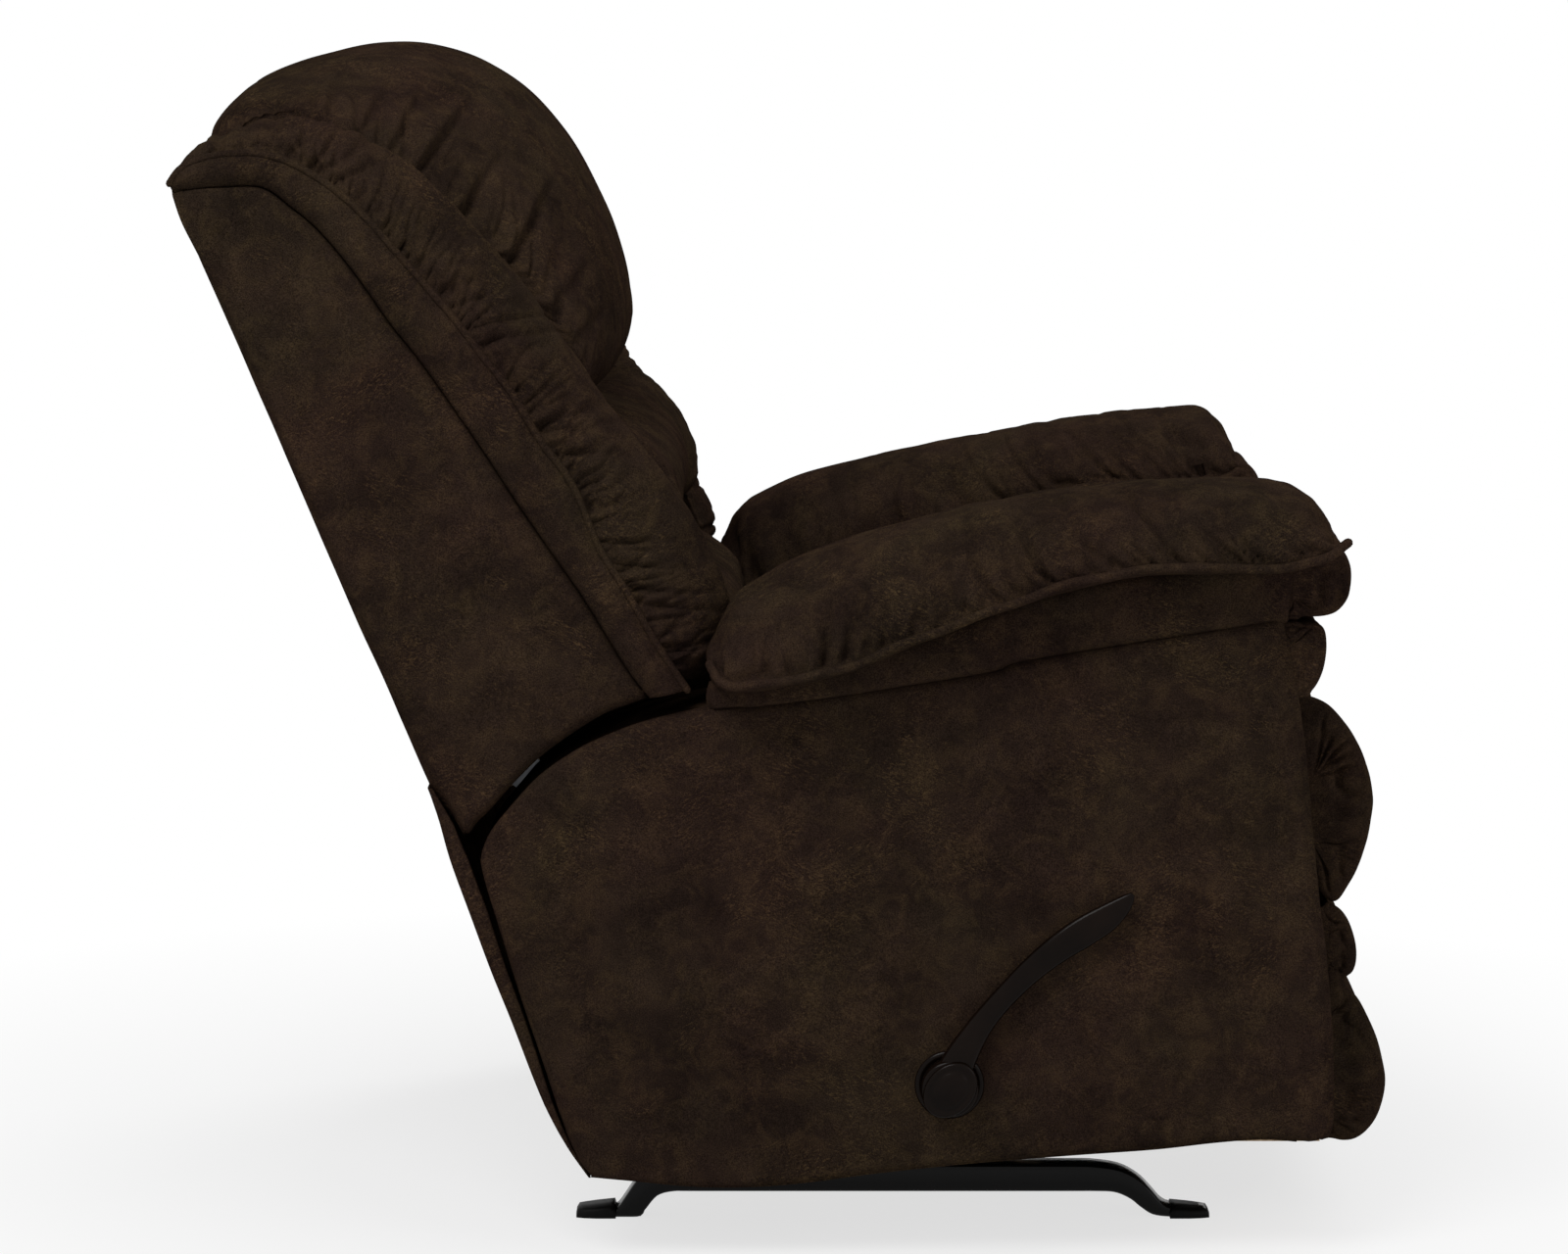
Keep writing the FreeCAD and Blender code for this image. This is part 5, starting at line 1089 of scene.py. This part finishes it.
FLAP_LINE = ((-323, 419), (-318, 404), (-313, 388), (-304, 354), (-289, 311), (-270, 258), (-249, 206),
             (-229, 153), (-218, 127), (-203, 99), (-184, 72))
FLAP_HALF = 434.0
# how far the cloth turns forward at each side, by height
FLAP_RETURN = ((72, 0.5), (90, 2.5), (127, 6.5), (180, 10.0), (232, 13.0), (311, 16.5), (354, 16.0),
               (388, 11.0), (419, 3.0))


def flap():
    """Cloth that hangs from the back's lower edge to the bottom of the arms, turned forward at its sides."""
    line = curve(FLAP_LINE, 46)[::-1]
    flat = FLAP_HALF - 8.0

    def place(r, c, u, v):
        x, z = line[r]
        s = (2 * u - 1) * (FLAP_HALF + 18.0)
        fold = 1.6 * wrinkle((s, 0.25 * z, 0), 60.0, 12.0) * clamp((400 - z) / 120)
        beyond = clamp((abs(s) - flat) / 12)
        ahead = clamp((abs(s) - flat - 6) / 20) * through(FLAP_RETURN, z)
        y = math.copysign(min(abs(s), flat) + 8.0 * math.sin(beyond * math.pi / 2), s)
        # the hem is turned up and forward between the arms
        hem = 20.0 * clamp((150 - z) / 78) * clamp((340 - abs(s)) / 30)
        return [(x - 1.0 + layer + ahead - fold * (1 - beyond) - 0.62 * hem,
                 y - math.copysign(layer * beyond, s), z + hem) for layer in (0.0, 1.6)]

    outer, inner = layers(46, 110, place)
    piece = sheet_piece("rear_cloth", None, outer, inner)
    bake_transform(piece)
    max(span_of(row) for row in outer) * MM
    span_of(line) * MM
    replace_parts(piece, "rear_flap")


# ---- handle

HANDLE_LINE = ((132, 160, 17.0, 8.5), (139, 180, 15.0, 8.5), (151, 202, 12.2, 8.0), (164, 221, 10.4, 7.0),
               (182, 242, 10.0, 6.4), (204, 264, 11.0, 6.0), (226, 282, 12.6, 5.8), (247, 296, 13.6, 5.4),
               (265, 307, 12.6, 4.8), (278, 317, 9.6, 4.2), (286, 325, 5.8, 3.4), (290, 330, 2.2, 2.0))
HUB = (132, 158)
HANDLE_Y = -456.5


# turned pieces: (radius, distance out) round the profile
LEVER_HUB = ((0.5, 447.6), (24.6, 447.6), (25.0, 448.4), (25.0, 463.0), (24.0, 464.8), (22.0, 465.4),
             (0.5, 465.4))
LEVER_CAP = ((0.5, 465.5), (20.8, 465.5), (21.2, 466.6), (20.4, 468.4), (18.6, 469.4), (16.6, 468.0),
             (14.8, 467.8), (13.4, 469.2), (10.0, 470.2), (6.0, 470.6), (0.5, 470.7))
LEVER_PLATE = ((8.6, 440.0), (30.6, 440.0), (31.0, 441.0), (30.6, 443.6), (28.8, 445.6), (26.0, 446.0),
               (25.0, 445.2), (8.6, 445.2))


def turned_piece(name, node, profile, body, longer=1.0, turn=0.0):
    """A round or oval piece about an axis along -Y."""
    rings = []
    for radius, out in profile:
        ring = []
        for k in range(72):
            a = math.pi * k / 36
            u, v = radius * longer * math.cos(a), radius * math.sin(a)
            ring.append((HUB[0] + u * math.cos(turn) - v * math.sin(turn), -out,
                         HUB[1] + u * math.sin(turn) + v * math.cos(turn)))
        rings.append(ring)
    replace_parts(loft(name, rings, HANDLE_PLASTIC, body), node)


def handle():
    """Curved lever, its hub and oval cap, and the round plate behind."""
    rings = []
    rows = smooth_table(HANDLE_LINE, 60)
    turns = [(math.cos(math.pi * k / 16), math.sin(math.pi * k / 16)) for k in range(32)]
    for i, (x, z, wide, thick) in enumerate(rows):
        before, after = rows[max(i - 1, 0)], rows[min(i + 1, len(rows) - 1)]
        forward = Vector((after[0] - before[0], 0, after[1] - before[1])).normalized()
        sideways = Vector((-forward[2], 0, forward[0]))
        rings.append([Vector((x, HANDLE_Y + math.copysign(abs(s) ** 0.8, s) * thick, z))
                      + sideways * math.copysign(abs(c) ** 0.8, c) * wide for c, s in turns])
    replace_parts(loft("lever_blade", rings, HANDLE_PLASTIC, "handle"), "handle_lever")
    turned_piece("lever_hub", "handle_lever", LEVER_HUB, "handle")
    turned_piece("lever_cap", "handle_cap", LEVER_CAP, "handle", 1.28, math.radians(50))
    turned_piece("lever_plate", "handle_escutcheon", LEVER_PLATE, "frame")


# ---- base

RAIL_TOP_LINE = ((-199, 5), (-176, 6), (-165, 9), (-158, 18), (-150, 30), (-141, 41), (-128, 48),
                 (-108, 50), (86, 50), (240, 50), (273, 49), (294, 45), (310, 36), (322, 24), (331, 14),
                 (341, 10), (371, 8))
RAIL_LOW_LINE = ((-199, 0), (-148, 0), (-140, 6), (-133, 15), (-126, 21), (-112, 24), (-90, 24), (86, 24),
                 (240, 24), (270, 24), (288, 23), (302, 17), (312, 9), (324, 2), (345, 0), (371, 0))


def base_rail(side, name):
    """Stamped rail with rounded edges and bent feet."""
    rings = []
    near, far, edge = 262.0, 289.4, 3.0
    steps = ((edge, 0.0), (edge * 0.3, 0.3), (0, 1.0))   # along Y and up, round one corner
    for a, b in zip(curve(RAIL_TOP_LINE, 170), curve(RAIL_LOW_LINE, 170)):
        a, b = Vector((a[0], max(a[1], 0.0))), Vector((b[0], max(b[1], 0.0)))
        ring = []
        for y, p, q, d in ((near, b, a, 1), (far, a, b, -1)):
            up = (q - p).normalized() * min(edge, (q - p).length * 0.3)
            ring += [at(p + up * lift, side * (y + d * step)) for step, lift in steps]
            ring += [at(q - up * lift, side * (y + d * step)) for step, lift in steps[::-1]]
        rings.append(ring)
    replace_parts(loft("rail_" + name, rings, BLACK_STEEL, "base"), "base_rail_" + name)


def foot_caps():
    """Plastic glides under and round the ends of the rails."""
    for name, side in SIDES:
        for end, tip, inner, rise in (("rear", -202, -166, 13.0), ("front", 374, 338, 12.0)):
            rings = []
            for t in (0.0, 0.04, 0.15, 0.5, 0.80, 0.94, 1.0):
                half = 17.8 * math.sqrt(1 - 0.45 * clamp((t - 0.45) / 0.55) ** 2)
                top = rise * (0.92 - 0.30 * t) * (0.6 if t in (0.0, 1.0) else 1.0)
                section = ((-half + 0.6, 0.0), (half - 0.6, 0.0), (half, 0.8), (half, top - 3.0),
                           (half - 3.0, top), (3.0 - half, top), (-half, top - 3.0), (-half, 0.8))
                rings.append([(inner + (tip - inner) * t, side * (276 + y), z) for y, z in section])
            piece = loft("glide_%s_%s" % (end, name), rings, FOOT_PLASTIC, "base")
            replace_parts(piece, "base_feet")


# ---- making everything

for side_name, side in SIDES:
    for make in (arm_panel, arm_band, arm_edge, arm_pad, arm_front, arm_inside, back_side, back_band,
                 back_wing, base_rail):
        make(side, side_name)
back_outside()
pillow("head_cushion", "head_pillow", 299.0, HEAD_MIDDLE, HEAD_SIDE, 401.5, 6.0, 2.6, 30.0, HEAD_CREASES)
pillow("middle_cushion", "middle_lumbar_pillow", 299.0, MIDDLE_PILLOW,
       eased(MIDDLE_PILLOW, 0.97, (170, 80)), 421.5, 1.6, 4.0, 40.0)
pillow("lower_cushion", "lower_lumbar_pillow", 273.0, LOWER_PILLOW, eased(LOWER_PILLOW, 0.94, (12, 90)),
       441.5, 1.6, 4.0, 40.0)
seat_pad()
foot_pad()
flap()
handle()
foot_caps()


# ---- carried-over nodes

NODE_MATERIALS = {"black_steel": BLACK_STEEL, "zinc_steel": ZINC, "wood": WOOD, "glide_plastic": FOOT_PLASTIC,
                  "handle_plastic": HANDLE_PLASTIC, "upholstery": CLOTH}
for part in frame["record"]["subparts"]:
    slots = frame["nodes"][part["node"]].data.materials
    slots.clear()
    slots.append(NODE_MATERIALS[part["material_slot"]])


# ---- floor, light and camera

def seen(n):
    """1 for what the camera sees straight or in gloss and glass, otherwise 0."""
    rays = n.new("LightPath", {}, 0).node.outputs
    return n.math("MAXIMUM", n.math("MAXIMUM", rays["Is Camera Ray"], rays["Is Glossy Ray"]),
                  rays["Is Transmission Ray"])


def floor_paint(n):
    """Pale floor that shows white to the camera and keeps the chair's shadow."""
    place = n.new("NewGeometry", {}, "Position")
    far = n.new("VectorMath", {0: place}, "Value", operation="LENGTH")
    share = n.math("MULTIPLY", seen(n), n.map(far, 0.45, 1.3, 0.70, 1.0))
    nodes = n.tree.nodes
    lit, white = nodes["Principled BSDF"].outputs[0], n.new("Emission", {}, 0)
    mixed = n.new("MixShader", {0: share, 1: lit, 2: white}, 0)
    put(nodes["Material Output"].inputs["Surface"], mixed)
    return {"Base Color": (0.80, 0.80, 0.80), "Roughness": 0.9, "Specular IOR Level": 0.0}


def floor():
    half = 14.0
    corners = [(-half, -half, 0), (half, -half, 0), (half, half, 0), (-half, half, 0)]
    mesh = bpy.data.meshes.new("floor")
    mesh.from_pydata(corners, [], [(0, 1, 2, 3)])
    mesh.materials.append(new_material("studio_floor", floor_paint))
    placed("floor", mesh)


def white_world():
    """Soft even light, with a white background for the camera and for gloss."""
    world = bpy.data.worlds.new("studio")
    bpy.context.scene.world = world
    n = Nodes(world)
    background = n.tree.nodes["Background"].inputs
    put(background["Color"], (1, 1, 1))
    put(background["Strength"], n.map(seen(n), 0.0, 1.0, SOFT_LIGHT, 1.0))


def lamps():
    for name, place, aim, size, power in LAMPS:
        light = bpy.data.lights.new(name, "AREA")
        light.shape = "DISK"
        light.size = size
        light.energy = power
        lamp = placed(name, light)
        lamp.location = place
        lamp.rotation_euler = (Vector((0, 0, aim)) - Vector(place)).to_track_quat("-Z", "Y").to_euler()


def camera():
    lens = bpy.data.cameras.new("camera")
    lens.sensor_width = 36.0
    lens.lens = CAMERA_LENS
    view = placed("camera", lens)
    view.location = CAMERA_PLACE
    view.rotation_euler = (math.radians(90 - CAMERA_TILT), 0, 0)
    bpy.context.scene.camera = view


SOFT_LIGHT = 0.42   # strength of the world's light
# soft round lamps: name, place, height that they aim at, size, power
LAMPS = (("key", (-1.2, -2.4, 3.4), 0.5, 1.8, 78.0), ("fill", (2.8, -2.2, 1.6), 0.5, 2.0, 15.0),
         ("rim", (1.4, 2.4, 2.4), 0.6, 1.6, 40.0))
# camera fitted to the photo: place, degrees that it looks down, focal length
CAMERA_PLACE, CAMERA_TILT, CAMERA_LENS = (-0.013, -4.856, 1.141), 7.47, 118.0

floor()
white_world()
lamps()
camera()
bpy.context.scene.view_settings.view_transform = "Standard"
